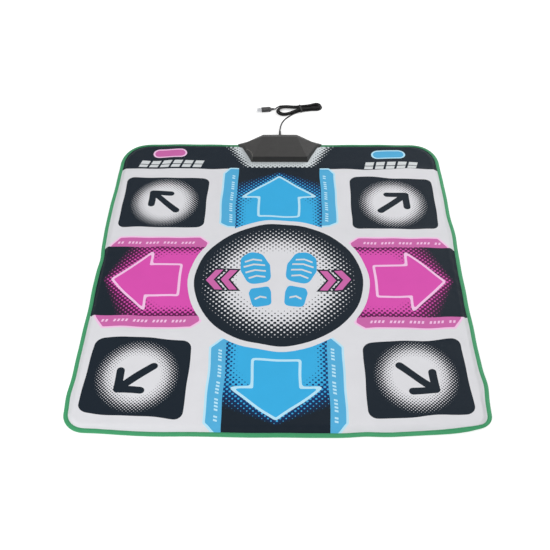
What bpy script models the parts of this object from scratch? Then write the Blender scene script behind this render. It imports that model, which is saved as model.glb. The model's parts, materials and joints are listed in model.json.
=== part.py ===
"""Soft dance mat for a games console, laid flat, with its controller box and its USB cord.

Metres, +Z up. The origin is on the floor under the centre of the mat. +Y runs to the back edge, where
the controller box sits, and +X is to the right of someone who stands on the mat facing the box.
The mat is a stack of sheets: bottom cover, lower contact film, spacer foam, upper contact film,
padding foam and printed cover, held together by a folded binding round the edge. Each of the ten
switch zones is a patch of cover, foam and film that travels down onto the lower film.
"""

import math

import bmesh
import bpy
import numpy as np
from mathutils import Vector

# Clearances
GAP = 0.0003
ZONE_CLEARANCE = 0.0005
SHELL_CLEARANCE = 0.0006

# Mat outline
MAT_WIDTH = 0.8200
MAT_DEPTH = 0.9134
BACK_CORNER_RADIUS = 0.080
FRONT_CORNER_RADIUS = 0.048
CORNER_STEPS = 7

# Thickness of each sheet, from the floor up
BOTTOM_COVER_THICKNESS = 0.0008
FILM_THICKNESS = 0.0004
SPACER_THICKNESS = 0.0025
FOAM_THICKNESS = 0.0020
TOP_COVER_THICKNESS = 0.0006
BINDING_THICKNESS = 0.0008

# How far in from the outline each feature of the edge lies
BINDING_REACH = 0.0090
FLAT_EDGE_REACH = 0.0104
BOTTOM_RISE_REACH = 0.0125
TOP_SLOPE_REACH = 0.0200
LAYER_INSET = 0.0220

# Switch zones, with their margins to the mat's edges
DISC_Y = -0.0535
DISC_RADIUS = 0.186
DISC_RING = 0.014
ARROW_ZONE_HALF = 0.100
UP_ZONE_MARGIN = 0.1187
DOWN_ZONE_MARGIN = 0.0247
SIDE_ZONE_MARGIN = 0.025
ARC_STEPS = 6
CORNER_ZONE_WIDTH = 0.201
CORNER_ZONE_DEPTH = 0.186
CORNER_ZONE_SIDE_MARGIN = 0.033
CORNER_ZONE_BACK_MARGIN = 0.1477
CORNER_ZONE_FRONT_MARGIN = 0.0421
CORNER_ZONE_RADIUS = 0.018
KEY_WIDTH = 0.088
KEY_DEPTH = 0.036
KEY_SIDE_MARGIN = 0.083
KEY_BACK_MARGIN = 0.0297
ROUND_STEPS = 4

# Perforations of the spacer foam
STEP_HOLE_RADIUS = 0.017
STEP_HOLE_SPREAD = 0.050
KEY_HOLE_RADIUS = 0.009
KEY_HOLE_SPREAD = 0.018
HOLE_SIDES = 10

# Controller box: half widths, how far it reaches over the mat and behind it, and heights
BOX_FRONT_HALF = 0.073
BOX_FRONT_REACH = 0.0827
BOX_CORNER_HALF = 0.110
BOX_BACK_HALF = 0.048
BOX_BACK_REACH = 0.0275
BOX_HEIGHT = 0.0235
CORNER_HEIGHT = 0.0150
FRONT_LEAN = 0.0035
SIDE_LEAN = 0.0130
BACK_LEAN = 0.0017
BACK_BEVEL_REACH = 0.0177
BACK_BEVEL_DROP = 0.0065
SHELL_WALL = 0.0020
SHELL_FLOOR = 0.0016
SHELL_EDGE_ROUND = 0.0007
TUCK = 0.012

# Screws of the box
POST_RADIUS = 0.0045
FRONT_POST_X = 0.060
FRONT_POST_SETBACK = 0.024
BACK_POST_X = 0.036
BACK_POST_SETBACK = 0.024
SCREW_RADIUS = 0.0014
SCREW_HEAD_RADIUS = 0.0028
SCREW_HEAD_HEIGHT = 0.0018
SCREW_LENGTH = 0.0116
COUNTERBORE_DEPTH = 0.0042
BOSS_HEIGHT = 0.0080
DRIVER_SLOT = 0.0007
ROUND_SIDES = 16

# Circuit board, film tails and their clamp, with setbacks from the box's front or the board's edges
BOARD_HALF_WIDTH = 0.048
BOARD_SETBACK = 0.015
BOARD_DEPTH = 0.063
BOARD_THICKNESS = 0.0016
TAIL_WIDTH = 0.032
TAIL_SPREAD = 0.002
TAIL_ROOT_AHEAD = 0.026
TAIL_OVERLAP = 0.014
TAIL_RISE = 0.016
PAD_THICKNESS = 0.0010
PAD_DEPTH = 0.0080
CLAMP_THICKNESS = 0.0030
CLAMP_DEPTH = 0.0090
CLAMP_SETBACK = 0.0055
CLAMP_SCREW_X = 0.041
CLAMP_SCREW_RADIUS = 0.0010
CLAMP_HEAD_RADIUS = 0.0020
CLAMP_HEAD_HEIGHT = 0.0014
CHIP_RADIUS = 0.0070
CHIP_HEIGHT = 0.0022
CHIP_SETBACK = 0.039
STANDOFF_RADIUS = 0.0030
STANDOFF_SETBACK = 0.006

# Cord and its strain relief
CORD_DIAMETER = 0.0035
GLAND_HEIGHT = 0.0080
GLAND_NECK_RADIUS = 0.0033
GLAND_FLANGE_RADIUS = 0.0050
GLAND_FLANGE = 0.0024
RELIEF_LENGTH = 0.0232
RELIEF_ROOT_RADIUS = 0.0041
RELIEF_TIP_RADIUS = 0.0026
RELIEF_RINGS = 5
RELIEF_GROOVE = 0.0004

# Hank of folded cord
HANK_X = 0.056
HANK_Y = 0.6245
HANK_ANGLE = math.radians(13.0)
HANK_SPAN = 0.092
HANK_STEP = 0.0042
HANK_WAIST = 0.0015
HANK_LEFT_LOOP = 0.0115
HANK_RIGHT_LOOP = 0.0030
HANK_RIGHT_REACH = 0.020
HANK_RUNS = 10
HANK_CLIMB_RUN = 5
HANK_LAYER_STEP = CORD_DIAMETER + 0.0006
HANK_START = -HANK_SPAN / 6
HANK_POINTS = 6
TIE_THICKNESS = 0.0006
TIE_WIDTH = 0.0045
TIE_LIFT_REACH = 0.014

# Hand-chosen points of the free stretches, between their computed ends
LEAD_ROUTE = [
    (0.0004, 0.5245, 0.0056),
    (0.0010, 0.5345, 0.0032),
    (0.0022, 0.5450, 0.0020),
    (0.0050, 0.5565, 0.00185),
    (0.0098, 0.5690, 0.00185),
    (0.0168, 0.5805, 0.00185),
    (0.0270, 0.5920, 0.00185),
]
TAIL_ROUTE = [
    (-0.0030, 0.6325, 0.0057),
    (-0.0100, 0.6275, 0.0047),
]

# USB plug
PLUG_X = -0.0180
PLUG_Y = 0.6225
PLUG_ANGLE = math.radians(187.0)
PLUG_BODY_LENGTH = 0.0240
PLUG_NECK_LENGTH = 0.0100
PLUG_WIDTH = 0.0155
PLUG_HEIGHT = 0.0080
PLUG_ROUND = 0.0018
PLUG_NECK_RADIUS = 0.0027
CONTACT_LENGTH = 0.0145
CONTACT_WIDTH = 0.0120
CONTACT_HEIGHT = 0.0045
CONTACT_WALL = 0.0004
CONTACT_SEAT = 0.0030
TONGUE_THICKNESS = 0.0018
TONGUE_SETBACK = 0.0012

SHARP_ANGLE = math.radians(35.0)
FACET_ANGLE = math.radians(12.0)

# Heights that follow from the stack
LOWER_FILM_Z = BOTTOM_COVER_THICKNESS + GAP
SPACER_Z = LOWER_FILM_Z + FILM_THICKNESS + GAP
UPPER_FILM_Z = SPACER_Z + SPACER_THICKNESS + GAP
FOAM_Z = UPPER_FILM_Z + FILM_THICKNESS + GAP
TOP_COVER_Z = FOAM_Z + FOAM_THICKNESS + GAP
MAT_THICKNESS = TOP_COVER_Z + TOP_COVER_THICKNESS
EDGE_BOTTOM_Z = BINDING_THICKNESS + GAP
EDGE_TOP_Z = EDGE_BOTTOM_Z + BOTTOM_COVER_THICKNESS + GAP
EDGE_UPPER_FLANGE_Z = EDGE_TOP_Z + TOP_COVER_THICKNESS + GAP
COVER_INSET = BINDING_THICKNESS + GAP

# Places of the zones that follow from the mat
MAT_BACK_Y = MAT_DEPTH / 2
UP_ZONE_END = MAT_BACK_Y - UP_ZONE_MARGIN
DOWN_ZONE_END = DOWN_ZONE_MARGIN - MAT_BACK_Y
SIDE_ZONE_END = MAT_WIDTH / 2 - SIDE_ZONE_MARGIN
CORNER_ZONE_X = MAT_WIDTH / 2 - CORNER_ZONE_SIDE_MARGIN - CORNER_ZONE_WIDTH / 2
BACK_ZONE_Y = MAT_BACK_Y - CORNER_ZONE_BACK_MARGIN - CORNER_ZONE_DEPTH / 2
FRONT_ZONE_Y = CORNER_ZONE_FRONT_MARGIN + CORNER_ZONE_DEPTH / 2 - MAT_BACK_Y
KEY_X = MAT_WIDTH / 2 - KEY_SIDE_MARGIN - KEY_WIDTH / 2
KEY_Y = MAT_BACK_Y - KEY_BACK_MARGIN - KEY_DEPTH / 2

# Places in the box that follow from the mat
BOX_FRONT_Y = MAT_BACK_Y - BOX_FRONT_REACH
BOX_BACK_Y = MAT_BACK_Y + BOX_BACK_REACH
FRONT_POST_Y = BOX_FRONT_Y + FRONT_POST_SETBACK
BACK_POST_Y = BOX_BACK_Y - BACK_POST_SETBACK
BOARD_FRONT_Y = BOX_FRONT_Y + BOARD_SETBACK
BOARD_BACK_Y = BOARD_FRONT_Y + BOARD_DEPTH
TAIL_ROOT_Y = BOX_FRONT_Y - TAIL_ROOT_AHEAD
TAIL_END_Y = BOARD_FRONT_Y + TAIL_OVERLAP
CLAMP_Y = BOARD_FRONT_Y + CLAMP_SETBACK
CHIP_Y = BOARD_FRONT_Y + CHIP_SETBACK
STANDOFF_Y = BOARD_BACK_Y - STANDOFF_SETBACK

# Heights and lines of the box that follow from the mat
SHELL_SEAM = FOAM_Z - GAP
SHELL_RIM = MAT_THICKNESS + GAP
MOUTH_END_Y = MAT_BACK_Y - TOP_SLOPE_REACH
BEVEL_FOOT_HEIGHT = BOX_HEIGHT - BACK_BEVEL_DROP
POST_BOTTOM = BOSS_HEIGHT + GAP
BOARD_Z = UPPER_FILM_Z - GAP - BOARD_THICKNESS
PAD_Z = UPPER_FILM_Z + FILM_THICKNESS + GAP
CLAMP_Z = PAD_Z + PAD_THICKNESS + GAP


def clear_scene():
    for piece in list(bpy.data.objects):
        bpy.data.objects.remove(piece, do_unlink=True)


def paint(name, colour, roughness, metallic=0.0):
    material = bpy.data.materials.new(name)
    material.use_nodes = True
    shader = material.node_tree.nodes["Principled BSDF"]
    shader.inputs["Base Color"].default_value = (*colour, 1.0)
    shader.inputs["Roughness"].default_value = roughness
    shader.inputs["Metallic"].default_value = metallic
    material.diffuse_color = (*colour, 1.0)
    return material


def new_object(name, shape, material=None, smooth=False):
    """Turn a bmesh into a scene object with its faces pointing out."""
    bmesh.ops.recalc_face_normals(shape, faces=shape.faces)
    mesh = bpy.data.meshes.new(name)
    shape.to_mesh(mesh)
    shape.free()
    if material:
        mesh.materials.append(material)
    if smooth:
        mesh.shade_smooth()
        mesh.set_sharp_from_angle(angle=SHARP_ANGLE)
    piece = bpy.data.objects.new(name, mesh)
    bpy.context.scene.collection.objects.link(piece)
    return piece


def add_loft(shape, rings, closed=False):
    """Skin rings of equally many points, and cap both ends, or join the last ring to the first."""
    rows = [[shape.verts.new(point) for point in ring] for ring in rings]
    pairs = list(zip(rows, rows[1:]))
    if closed:
        pairs.append((rows[-1], rows[0]))
    for lower, upper in pairs:
        for i in range(len(lower)):
            j = (i + 1) % len(lower)
            shape.faces.new((lower[i], lower[j], upper[j], upper[i]))
    if not closed:
        shape.faces.new(list(reversed(rows[0])))
        shape.faces.new(rows[-1])


def add_prism(shape, outline, bottom, top):
    add_loft(shape, [[(x, y, z) for x, y in outline] for z in (bottom, top)])


def loft(name, rings, material, smooth=False):
    shape = bmesh.new()
    add_loft(shape, rings)
    return new_object(name, shape, material, smooth)


def prism(name, outline, bottom, top, material):
    shape = bmesh.new()
    add_prism(shape, outline, bottom, top)
    return new_object(name, shape, material)


def cutter(name, shape):
    """A guide solid for a Boolean, which the model itself doesn't hold."""
    tool = new_object(name, shape)
    tool.hide_render = True
    tool.display_type = "WIRE"
    return tool


def combine(target, tool, operation):
    change = target.modifiers.new(tool.name, "BOOLEAN")
    change.operation = operation
    change.solver = "EXACT"
    change.object = tool


def circle(centre, radius, sides):
    turn = math.tau / sides
    return [
        (centre[0] + radius * math.cos(turn * i), centre[1] + radius * math.sin(turn * i))
        for i in range(sides)
    ]


def rectangle(left, right, front, back):
    return [(left, front), (right, front), (right, back), (left, back)]


def arc(centre, radius, start, end, steps):
    """Points along an arc, both ends included, with angles in degrees."""
    angles = [math.radians(start + (end - start) * i / steps) for i in range(steps + 1)]
    return [(centre[0] + radius * math.cos(a), centre[1] + radius * math.sin(a)) for a in angles]


def rounded_rectangle(centre, width, depth, radius, steps):
    outline = []
    for start, side_x, side_y in ((0, 1, 1), (90, -1, 1), (180, -1, -1), (270, 1, -1)):
        corner = (
            centre[0] + side_x * (width / 2 - radius),
            centre[1] + side_y * (depth / 2 - radius),
        )
        outline += arc(corner, radius, start, start + 90, steps)
    return outline


def mirrored(outline):
    return [(-x, y) for x, y in reversed(outline)]


def stand(points, origin, turn):
    """Turn and move points of a flat-lying piece from its own axes into the world."""
    c, s = math.cos(turn), math.sin(turn)
    return [(origin[0] + x * c - y * s, origin[1] + x * s + y * c, z) for x, y, z in points]


def box_outline(grow):
    """The box's six-sided plan, moved outwards by grow along each wall."""
    corners = [
        (BOX_FRONT_HALF, BOX_FRONT_Y),
        (BOX_CORNER_HALF, MAT_BACK_Y),
        (BOX_BACK_HALF, BOX_BACK_Y),
        (-BOX_BACK_HALF, BOX_BACK_Y),
        (-BOX_CORNER_HALF, MAT_BACK_Y),
        (-BOX_FRONT_HALF, BOX_FRONT_Y),
    ]
    return offset_polygon(corners, grow)


def offset_polygon(corners, grow):
    """Offset a counterclockwise convex polygon, keeping its corners sharp."""
    moved = []
    for i, corner in enumerate(corners):
        before = Vector(corner) - Vector(corners[i - 1])
        after = Vector(corners[(i + 1) % len(corners)]) - Vector(corner)
        normals = [Vector((v.y, -v.x)).normalized() for v in (before, after)]
        shift = (normals[0] + normals[1]) * grow / (1 + normals[0].dot(normals[1]))
        moved.append((corner[0] + shift.x, corner[1] + shift.y))
    return moved


def box_side_x(y, grow):
    """Half width of the grown box plan on its front side walls, at depth y."""
    (front_x, front_y), (corner_x, corner_y) = box_outline(grow)[:2]
    return front_x + (corner_x - front_x) * (y - front_y) / (corner_y - front_y)


def sheet_outline(inset, notch=()):
    """The mat's outline moved in by inset, with an optional notch in the back edge."""
    half_x, half_y = MAT_WIDTH / 2 - inset, MAT_DEPTH / 2 - inset
    back, front = BACK_CORNER_RADIUS - inset, FRONT_CORNER_RADIUS - inset
    outline = list(notch)
    outline += arc((back - half_x, half_y - back), back, 90, 180, CORNER_STEPS)
    outline += arc((front - half_x, front - half_y), front, 180, 270, CORNER_STEPS)
    outline += arc((half_x - front, front - half_y), front, 270, 360, CORNER_STEPS)
    outline += arc((half_x - back, half_y - back), back, 0, 90, CORNER_STEPS)
    return outline


def sheet_notch(grow, inset, front_y=None):
    """A notch in a flat sheet, following the box's plan grown by grow or cut square at front_y."""
    edge_y = MAT_BACK_Y - inset
    front_x, box_front_y = box_outline(grow)[0]
    if front_y is not None:
        front_x, box_front_y = front_x + box_front_y - front_y, front_y
    half = box_side_x(edge_y, grow)
    right = [(half, edge_y), (front_x, box_front_y)]
    return right + [(-x, y) for x, y in reversed(right)]


def arrow_zone(direction, grow):
    """An arrow panel's plan: straight sides, with a concave inner end that follows the disc."""
    if direction == "up":
        turn, end = 0.0, UP_ZONE_END - DISC_Y
    elif direction == "down":
        turn, end = math.pi, DISC_Y - DOWN_ZONE_END
    else:
        turn, end = (math.pi / 2 if direction == "left" else -math.pi / 2), SIDE_ZONE_END
    half, reach = ARROW_ZONE_HALF + grow, end + grow
    radius = DISC_RADIUS + DISC_RING - grow
    open_angle = math.degrees(math.asin(half / radius))
    outline = [(half, reach), (-half, reach)]
    outline += arc((0, 0), radius, 90 + open_angle, 90 - open_angle, ARC_STEPS)
    c, s = math.cos(turn), math.sin(turn)
    return [(x * c - y * s, DISC_Y + x * s + y * c) for x, y in outline]


def zones(grow):
    """Every switch zone's name, middle and plan."""
    plans = {}
    for direction in ("up", "down", "left", "right"):
        plans[direction] = arrow_zone(direction, grow)
    for row, y in (("up", BACK_ZONE_Y), ("down", FRONT_ZONE_Y)):
        for side, x in (("left", -CORNER_ZONE_X), ("right", CORNER_ZONE_X)):
            plans[f"{row}_{side}"] = rounded_rectangle(
                (x, y),
                CORNER_ZONE_WIDTH + 2 * grow,
                CORNER_ZONE_DEPTH + 2 * grow,
                CORNER_ZONE_RADIUS + grow,
                ROUND_STEPS,
            )
    for key, x in (("select", -KEY_X), ("start", KEY_X)):
        plans[key] = rounded_rectangle(
            (x, KEY_Y), KEY_WIDTH + 2 * grow, KEY_DEPTH + 2 * grow, KEY_DEPTH / 2 + grow, ROUND_STEPS
        )
    return plans


def zone_middle(plan):
    xs, ys = zip(*plan)
    return ((min(xs) + max(xs)) / 2, (min(ys) + max(ys)) / 2)


def make_bottom_cover(material):
    """The anti-slip underside, with its edge raised into the binding and a notch for the box."""
    lower = [
        (BOTTOM_RISE_REACH, 0.0),
        (FLAT_EDGE_REACH, EDGE_BOTTOM_Z),
        (COVER_INSET, EDGE_BOTTOM_Z),
    ]
    rings = [[(x, y, z) for x, y in sheet_outline(inset)] for inset, z in lower]
    rings += [
        [(x, y, z + BOTTOM_COVER_THICKNESS) for x, y in sheet_outline(inset)]
        for inset, z in reversed(lower)
    ]
    cover = loft("bottom_cover", rings, material)
    notch = bmesh.new()
    add_prism(notch, box_outline(SHELL_CLEARANCE), -GAP, MAT_THICKNESS)
    combine(cover, cutter("bottom_notch", notch), "DIFFERENCE")
    return cover


def make_top_cover(material):
    """The printed cover: it slopes into the binding, and its back edge is tucked into the box."""
    lower = [
        (TOP_SLOPE_REACH, TOP_COVER_Z),
        (FLAT_EDGE_REACH, EDGE_TOP_Z),
        (COVER_INSET, EDGE_TOP_Z),
    ]
    rings = [[(x, y, z) for x, y in sheet_outline(inset)] for inset, z in lower]
    rings += [
        [(x, y, z + TOP_COVER_THICKNESS) for x, y in sheet_outline(inset)]
        for inset, z in reversed(lower)
    ]
    cover = loft("top_cover", rings, material)

    windows = bmesh.new()
    for plan in zones(ZONE_CLEARANCE).values():
        add_prism(windows, plan, FOAM_Z, MAT_THICKNESS + GAP)
    combine(cover, cutter("zone_windows", windows), "DIFFERENCE")

    # The mouth's notch is narrow where the cover is pinched, and clears the box behind that
    front_x, front_y = box_outline(-TUCK)[0]
    right = [
        (box_side_x(MAT_BACK_Y + SHELL_EDGE_ROUND, SHELL_CLEARANCE), MAT_BACK_Y + SHELL_EDGE_ROUND),
        (box_side_x(MOUTH_END_Y, SHELL_CLEARANCE), MOUTH_END_Y),
        (box_side_x(MOUTH_END_Y, -TUCK), MOUTH_END_Y),
        (front_x, front_y),
    ]
    notch = bmesh.new()
    add_prism(notch, list(reversed(right + mirrored(right))), 0.0, MAT_THICKNESS + GAP)
    combine(cover, cutter("mouth_notch", notch), "DIFFERENCE")
    return cover


def make_binding(material):
    """The folded edge tape: a U section that runs round the mat from one side of the box to the other."""
    reach, wall, top = BINDING_REACH, BINDING_THICKNESS, EDGE_UPPER_FLANGE_Z
    section = [
        (0.0, 0.0),
        (reach, 0.0),
        (reach, wall),
        (wall, wall),
        (wall, top),
        (reach, top),
        (reach, top + wall),
        (0.0, top + wall),
    ]
    end_x = BOX_CORNER_HALF + SHELL_CLEARANCE
    lines = []
    for inset, z in section:
        y = MAT_BACK_Y - inset
        path = [(-end_x, y)] + sheet_outline(inset) + [(end_x, y)]
        lines.append([(px, py, z) for px, py in path])
    return loft("edge_binding", list(zip(*lines)), material)


def make_lower_film(material):
    """The lower contact film, whose tail rises to the circuit board at the right of the middle."""
    notch = sheet_notch(SHELL_CLEARANCE, LAYER_INSET, TAIL_ROOT_Y)
    left, right = TAIL_SPREAD, TAIL_SPREAD + TAIL_WIDTH
    notch[2:2] = [(right, TAIL_ROOT_Y), (left, TAIL_ROOT_Y)]
    shape = bmesh.new()
    add_prism(shape, sheet_outline(LAYER_INSET, notch), LOWER_FILM_Z, LOWER_FILM_Z + FILM_THICKNESS)
    rise = UPPER_FILM_Z - LOWER_FILM_Z
    steps = ((TAIL_RISE, rise), (TAIL_END_Y - TAIL_ROOT_Y - TAIL_RISE, 0.0))
    extrude_tail(shape, left, right, steps)
    return new_object("lower_contact_film", shape, material)


def extrude_tail(shape, left, right, steps):
    """Draw the sheet's side face between left and right back towards the box, step by step."""
    shape.normal_update()
    root_middle = Vector(((left + right) / 2, TAIL_ROOT_Y))
    upright = [face for face in shape.faces if abs(face.normal.z) < 0.5]
    face = min(upright, key=lambda f: (f.calc_center_median().xy - root_middle).length)
    for forward, up in steps:
        face = bmesh.ops.extrude_discrete_faces(shape, faces=[face])["faces"][0]
        bmesh.ops.translate(shape, verts=face.verts, vec=(0.0, forward, up))


def make_upper_film(material):
    """The upper contact film, with a window for each zone and a straight tail left of the middle."""
    notch = sheet_notch(SHELL_CLEARANCE, LAYER_INSET, TAIL_ROOT_Y)
    left, right = -TAIL_SPREAD - TAIL_WIDTH, -TAIL_SPREAD
    tail = [(right, TAIL_ROOT_Y), (right, TAIL_END_Y), (left, TAIL_END_Y), (left, TAIL_ROOT_Y)]
    notch[2:2] = tail
    film = prism(
        "upper_contact_film",
        sheet_outline(LAYER_INSET, notch),
        UPPER_FILM_Z,
        UPPER_FILM_Z + FILM_THICKNESS,
        material,
    )
    cut_windows(film, "film_windows", UPPER_FILM_Z, FILM_THICKNESS)
    return film


def cut_windows(sheet, name, bottom, thickness):
    windows = bmesh.new()
    for plan in zones(ZONE_CLEARANCE).values():
        add_prism(windows, plan, bottom - GAP / 2, bottom + thickness + GAP / 2)
    combine(sheet, cutter(name, windows), "DIFFERENCE")


def make_spacer_foam(material):
    """The perforated foam between the films: they touch through its holes when it is squeezed."""
    notch = sheet_notch(SHELL_CLEARANCE, LAYER_INSET, TAIL_ROOT_Y - GAP)
    foam = prism(
        "spacer_foam",
        sheet_outline(LAYER_INSET, notch),
        SPACER_Z,
        SPACER_Z + SPACER_THICKNESS,
        material,
    )
    holes = bmesh.new()
    for name, plan in zones(0.0).items():
        x, y = zone_middle(plan)
        if name in ("select", "start"):
            spots = [(x - KEY_HOLE_SPREAD, y), (x + KEY_HOLE_SPREAD, y)]
            radius = KEY_HOLE_RADIUS
        else:
            spots = [(x, y)]
            spots += [
                (x + side * STEP_HOLE_SPREAD, y + end * STEP_HOLE_SPREAD)
                for side in (-1, 1)
                for end in (-1, 1)
            ]
            radius = STEP_HOLE_RADIUS
        for spot in spots:
            outline = circle(spot, radius, HOLE_SIDES)
            add_prism(holes, outline, SPACER_Z - GAP / 2, SPACER_Z + SPACER_THICKNESS + GAP / 2)
    combine(foam, cutter("foam_holes", holes), "DIFFERENCE")
    return foam


def make_padding_foam(material):
    """The soft foam under the printed cover, pinched with it between the two shells of the box."""
    foam = prism(
        "padding_foam",
        sheet_outline(LAYER_INSET, sheet_notch(-TUCK, LAYER_INSET)),
        FOAM_Z,
        FOAM_Z + FOAM_THICKNESS,
        material,
    )
    cut_windows(foam, "padding_windows", FOAM_Z, FOAM_THICKNESS)
    return foam


def make_zone(name, plan, coats):
    """One switch zone: its patch of cover, foam and contact film on an empty at its middle."""
    x, y = zone_middle(plan)
    centre = bpy.data.objects.new(f"{name}_travel", None)
    centre.location = (x, y, 0.0)
    bpy.context.scene.collection.objects.link(centre)
    local = [(px - x, py - y) for px, py in plan]
    for layer, bottom, thickness in (
        ("cover_patch", TOP_COVER_Z, TOP_COVER_THICKNESS),
        ("foam_patch", FOAM_Z, FOAM_THICKNESS),
        ("contact_patch", UPPER_FILM_Z, FILM_THICKNESS),
    ):
        piece = prism(f"{name}_{layer}", local, bottom, bottom + thickness, coats[layer])
        piece.parent = centre


def faceted_box(shape, grow, drop, base):
    """The top shell's faceted form: leaning walls, a flat top, and a sloping facet at each side and behind."""
    lower = box_outline(grow)
    back_half = BOX_BACK_HALF - FRONT_LEAN
    wall_back_y = BOX_BACK_Y - BACK_LEAN
    leaned = [
        (BOX_FRONT_HALF - FRONT_LEAN, BOX_FRONT_Y + FRONT_LEAN),
        (BOX_CORNER_HALF - SIDE_LEAN, MAT_BACK_Y - SIDE_LEAN + GAP),
        (back_half, wall_back_y),
    ]
    upper = offset_polygon(leaned + mirrored(leaned), grow)
    heights = [BOX_HEIGHT, CORNER_HEIGHT, BEVEL_FOOT_HEIGHT]
    heights += heights[::-1]
    low = [shape.verts.new((x, y, base)) for x, y in lower]
    high = [shape.verts.new((x, y, z - drop)) for (x, y), z in zip(upper, heights)]
    plate_back_y = wall_back_y - BACK_BEVEL_REACH + grow
    right, left = (
        shape.verts.new((side * (back_half + grow), plate_back_y, BOX_HEIGHT - drop)) for side in (1, -1)
    )
    shape.faces.new(list(reversed(low)))
    for i in range(6):
        j = (i + 1) % 6
        if heights[i] == heights[j]:
            shape.faces.new((low[i], low[j], high[j], high[i]))
        elif i in (0, 3):
            shape.faces.new((low[i], low[j], high[j]))
            shape.faces.new((low[i], high[j], high[i]))
        else:
            shape.faces.new((low[i], low[j], high[i]))
            shape.faces.new((low[j], high[j], high[i]))
    for front, corner, back, plate in ((high[0], high[1], high[2], right), (high[5], high[4], high[3], left)):
        facets = ((front, corner, plate), (corner, back, plate))
        for facet in facets:
            shape.faces.new(facet if plate == right else tuple(reversed(facet)))
    shape.faces.new((high[2], high[3], left, right))
    shape.faces.new((high[0], right, left, high[5]))


def post_places():
    return [
        (FRONT_POST_X, FRONT_POST_Y),
        (-FRONT_POST_X, FRONT_POST_Y),
        (BACK_POST_X, BACK_POST_Y),
        (-BACK_POST_X, BACK_POST_Y),
    ]


def gland_slot(name, bottom):
    """An upright slot with a round top, cut through the back wall for the strain relief's neck."""
    radius = GLAND_NECK_RADIUS + GAP
    arch = [(x, z) for x, z in arc((0.0, GLAND_HEIGHT), radius, 0, 180, ROUND_SIDES // 2)]
    arch = [(radius, bottom)] + arch + [(-radius, bottom)]
    near = BOX_BACK_Y - BACK_LEAN - 2 * SHELL_WALL
    far = BOX_BACK_Y + SHELL_WALL
    slot = bmesh.new()
    add_loft(slot, [[(x, y, z) for x, z in arch] for y in (near, far)])
    return cutter(name, slot)


def make_top_shell(material):
    """The box's upper shell: a thin faceted shell with a mouth for the mat and four screw posts."""
    outer = bmesh.new()
    faceted_box(outer, 0.0, 0.0, SHELL_SEAM)
    shell = new_object("top_shell", outer, material)
    edges = shell.modifiers.new("edge_round", "BEVEL")
    edges.width = SHELL_EDGE_ROUND
    edges.segments = 2
    edges.limit_method = "ANGLE"
    edges.angle_limit = FACET_ANGLE

    inner = bmesh.new()
    faceted_box(inner, -SHELL_WALL, SHELL_WALL, SHELL_SEAM - SHELL_WALL)
    combine(shell, cutter("shell_hollow", inner), "DIFFERENCE")

    mouth = bmesh.new()
    reach = BOX_CORNER_HALF + SHELL_WALL
    opening = rectangle(-reach, reach, BOX_FRONT_Y - SHELL_WALL, MOUTH_END_Y + GAP)
    add_prism(mouth, opening, SHELL_SEAM - SHELL_WALL, SHELL_RIM)
    combine(shell, cutter("shell_mouth", mouth), "DIFFERENCE")
    combine(shell, gland_slot("top_gland_slot", SHELL_SEAM - SHELL_WALL), "DIFFERENCE")

    posts = bmesh.new()
    for spot in post_places():
        add_prism(posts, circle(spot, POST_RADIUS, ROUND_SIDES), POST_BOTTOM, BOX_HEIGHT - SHELL_WALL / 2)
    combine(shell, cutter("shell_posts", posts), "UNION")

    pilots = bmesh.new()
    for spot in post_places():
        hole = circle(spot, SCREW_RADIUS + GAP, HOLE_SIDES)
        add_prism(pilots, hole, SHELL_SEAM, COUNTERBORE_DEPTH + SCREW_LENGTH + 2 * GAP)
    combine(shell, cutter("shell_pilots", pilots), "DIFFERENCE")
    return shell


def make_bottom_shell(material):
    """The box's lower shell: a tray with counterbored screw bosses, flush with the mat's underside."""
    rim = SHELL_SEAM - GAP
    shell = prism("bottom_shell", box_outline(0.0), 0.0, rim, material)
    hollow = bmesh.new()
    add_prism(hollow, box_outline(-SHELL_WALL), SHELL_FLOOR, BOX_HEIGHT)
    combine(shell, cutter("tray_hollow", hollow), "DIFFERENCE")

    bosses = bmesh.new()
    for spot in post_places():
        add_prism(bosses, circle(spot, POST_RADIUS, ROUND_SIDES), SHELL_FLOOR / 2, BOSS_HEIGHT)
    for spot in clamp_screw_places() + standoff_places():
        add_prism(bosses, circle(spot, STANDOFF_RADIUS, HOLE_SIDES), SHELL_FLOOR / 2, BOARD_Z - GAP)
    combine(shell, cutter("tray_bosses", bosses), "UNION")

    bores = bmesh.new()
    for spot in post_places():
        head = circle(spot, SCREW_HEAD_RADIUS + GAP, ROUND_SIDES)
        shank = circle(spot, SCREW_RADIUS + GAP, ROUND_SIDES)
        rings = [
            (head, -GAP),
            (head, COUNTERBORE_DEPTH),
            (shank, COUNTERBORE_DEPTH),
            (shank, BOSS_HEIGHT + GAP),
        ]
        add_loft(bores, [[(x, y, z) for x, y in ring] for ring, z in rings])
    for spot in clamp_screw_places():
        add_prism(bores, circle(spot, CLAMP_SCREW_RADIUS + GAP, HOLE_SIDES), SHELL_FLOOR / 3, BOARD_Z)
    combine(shell, cutter("tray_bores", bores), "DIFFERENCE")

    tails = bmesh.new()
    reach = TAIL_SPREAD + TAIL_WIDTH + ZONE_CLEARANCE
    gate = rectangle(-reach, reach, BOX_FRONT_Y - SHELL_WALL, BOX_FRONT_Y + 2 * SHELL_WALL)
    add_prism(tails, gate, UPPER_FILM_Z - GAP, rim + GAP)
    combine(shell, cutter("tray_tail_gate", tails), "DIFFERENCE")
    neck_bottom = GLAND_HEIGHT - GLAND_NECK_RADIUS - GAP
    combine(shell, gland_slot("tray_gland_slot", neck_bottom), "DIFFERENCE")
    return shell


def clamp_screw_places():
    return [(CLAMP_SCREW_X, CLAMP_Y), (-CLAMP_SCREW_X, CLAMP_Y)]


def standoff_places():
    return [(CLAMP_SCREW_X, STANDOFF_Y), (-CLAMP_SCREW_X, STANDOFF_Y)]


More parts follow.
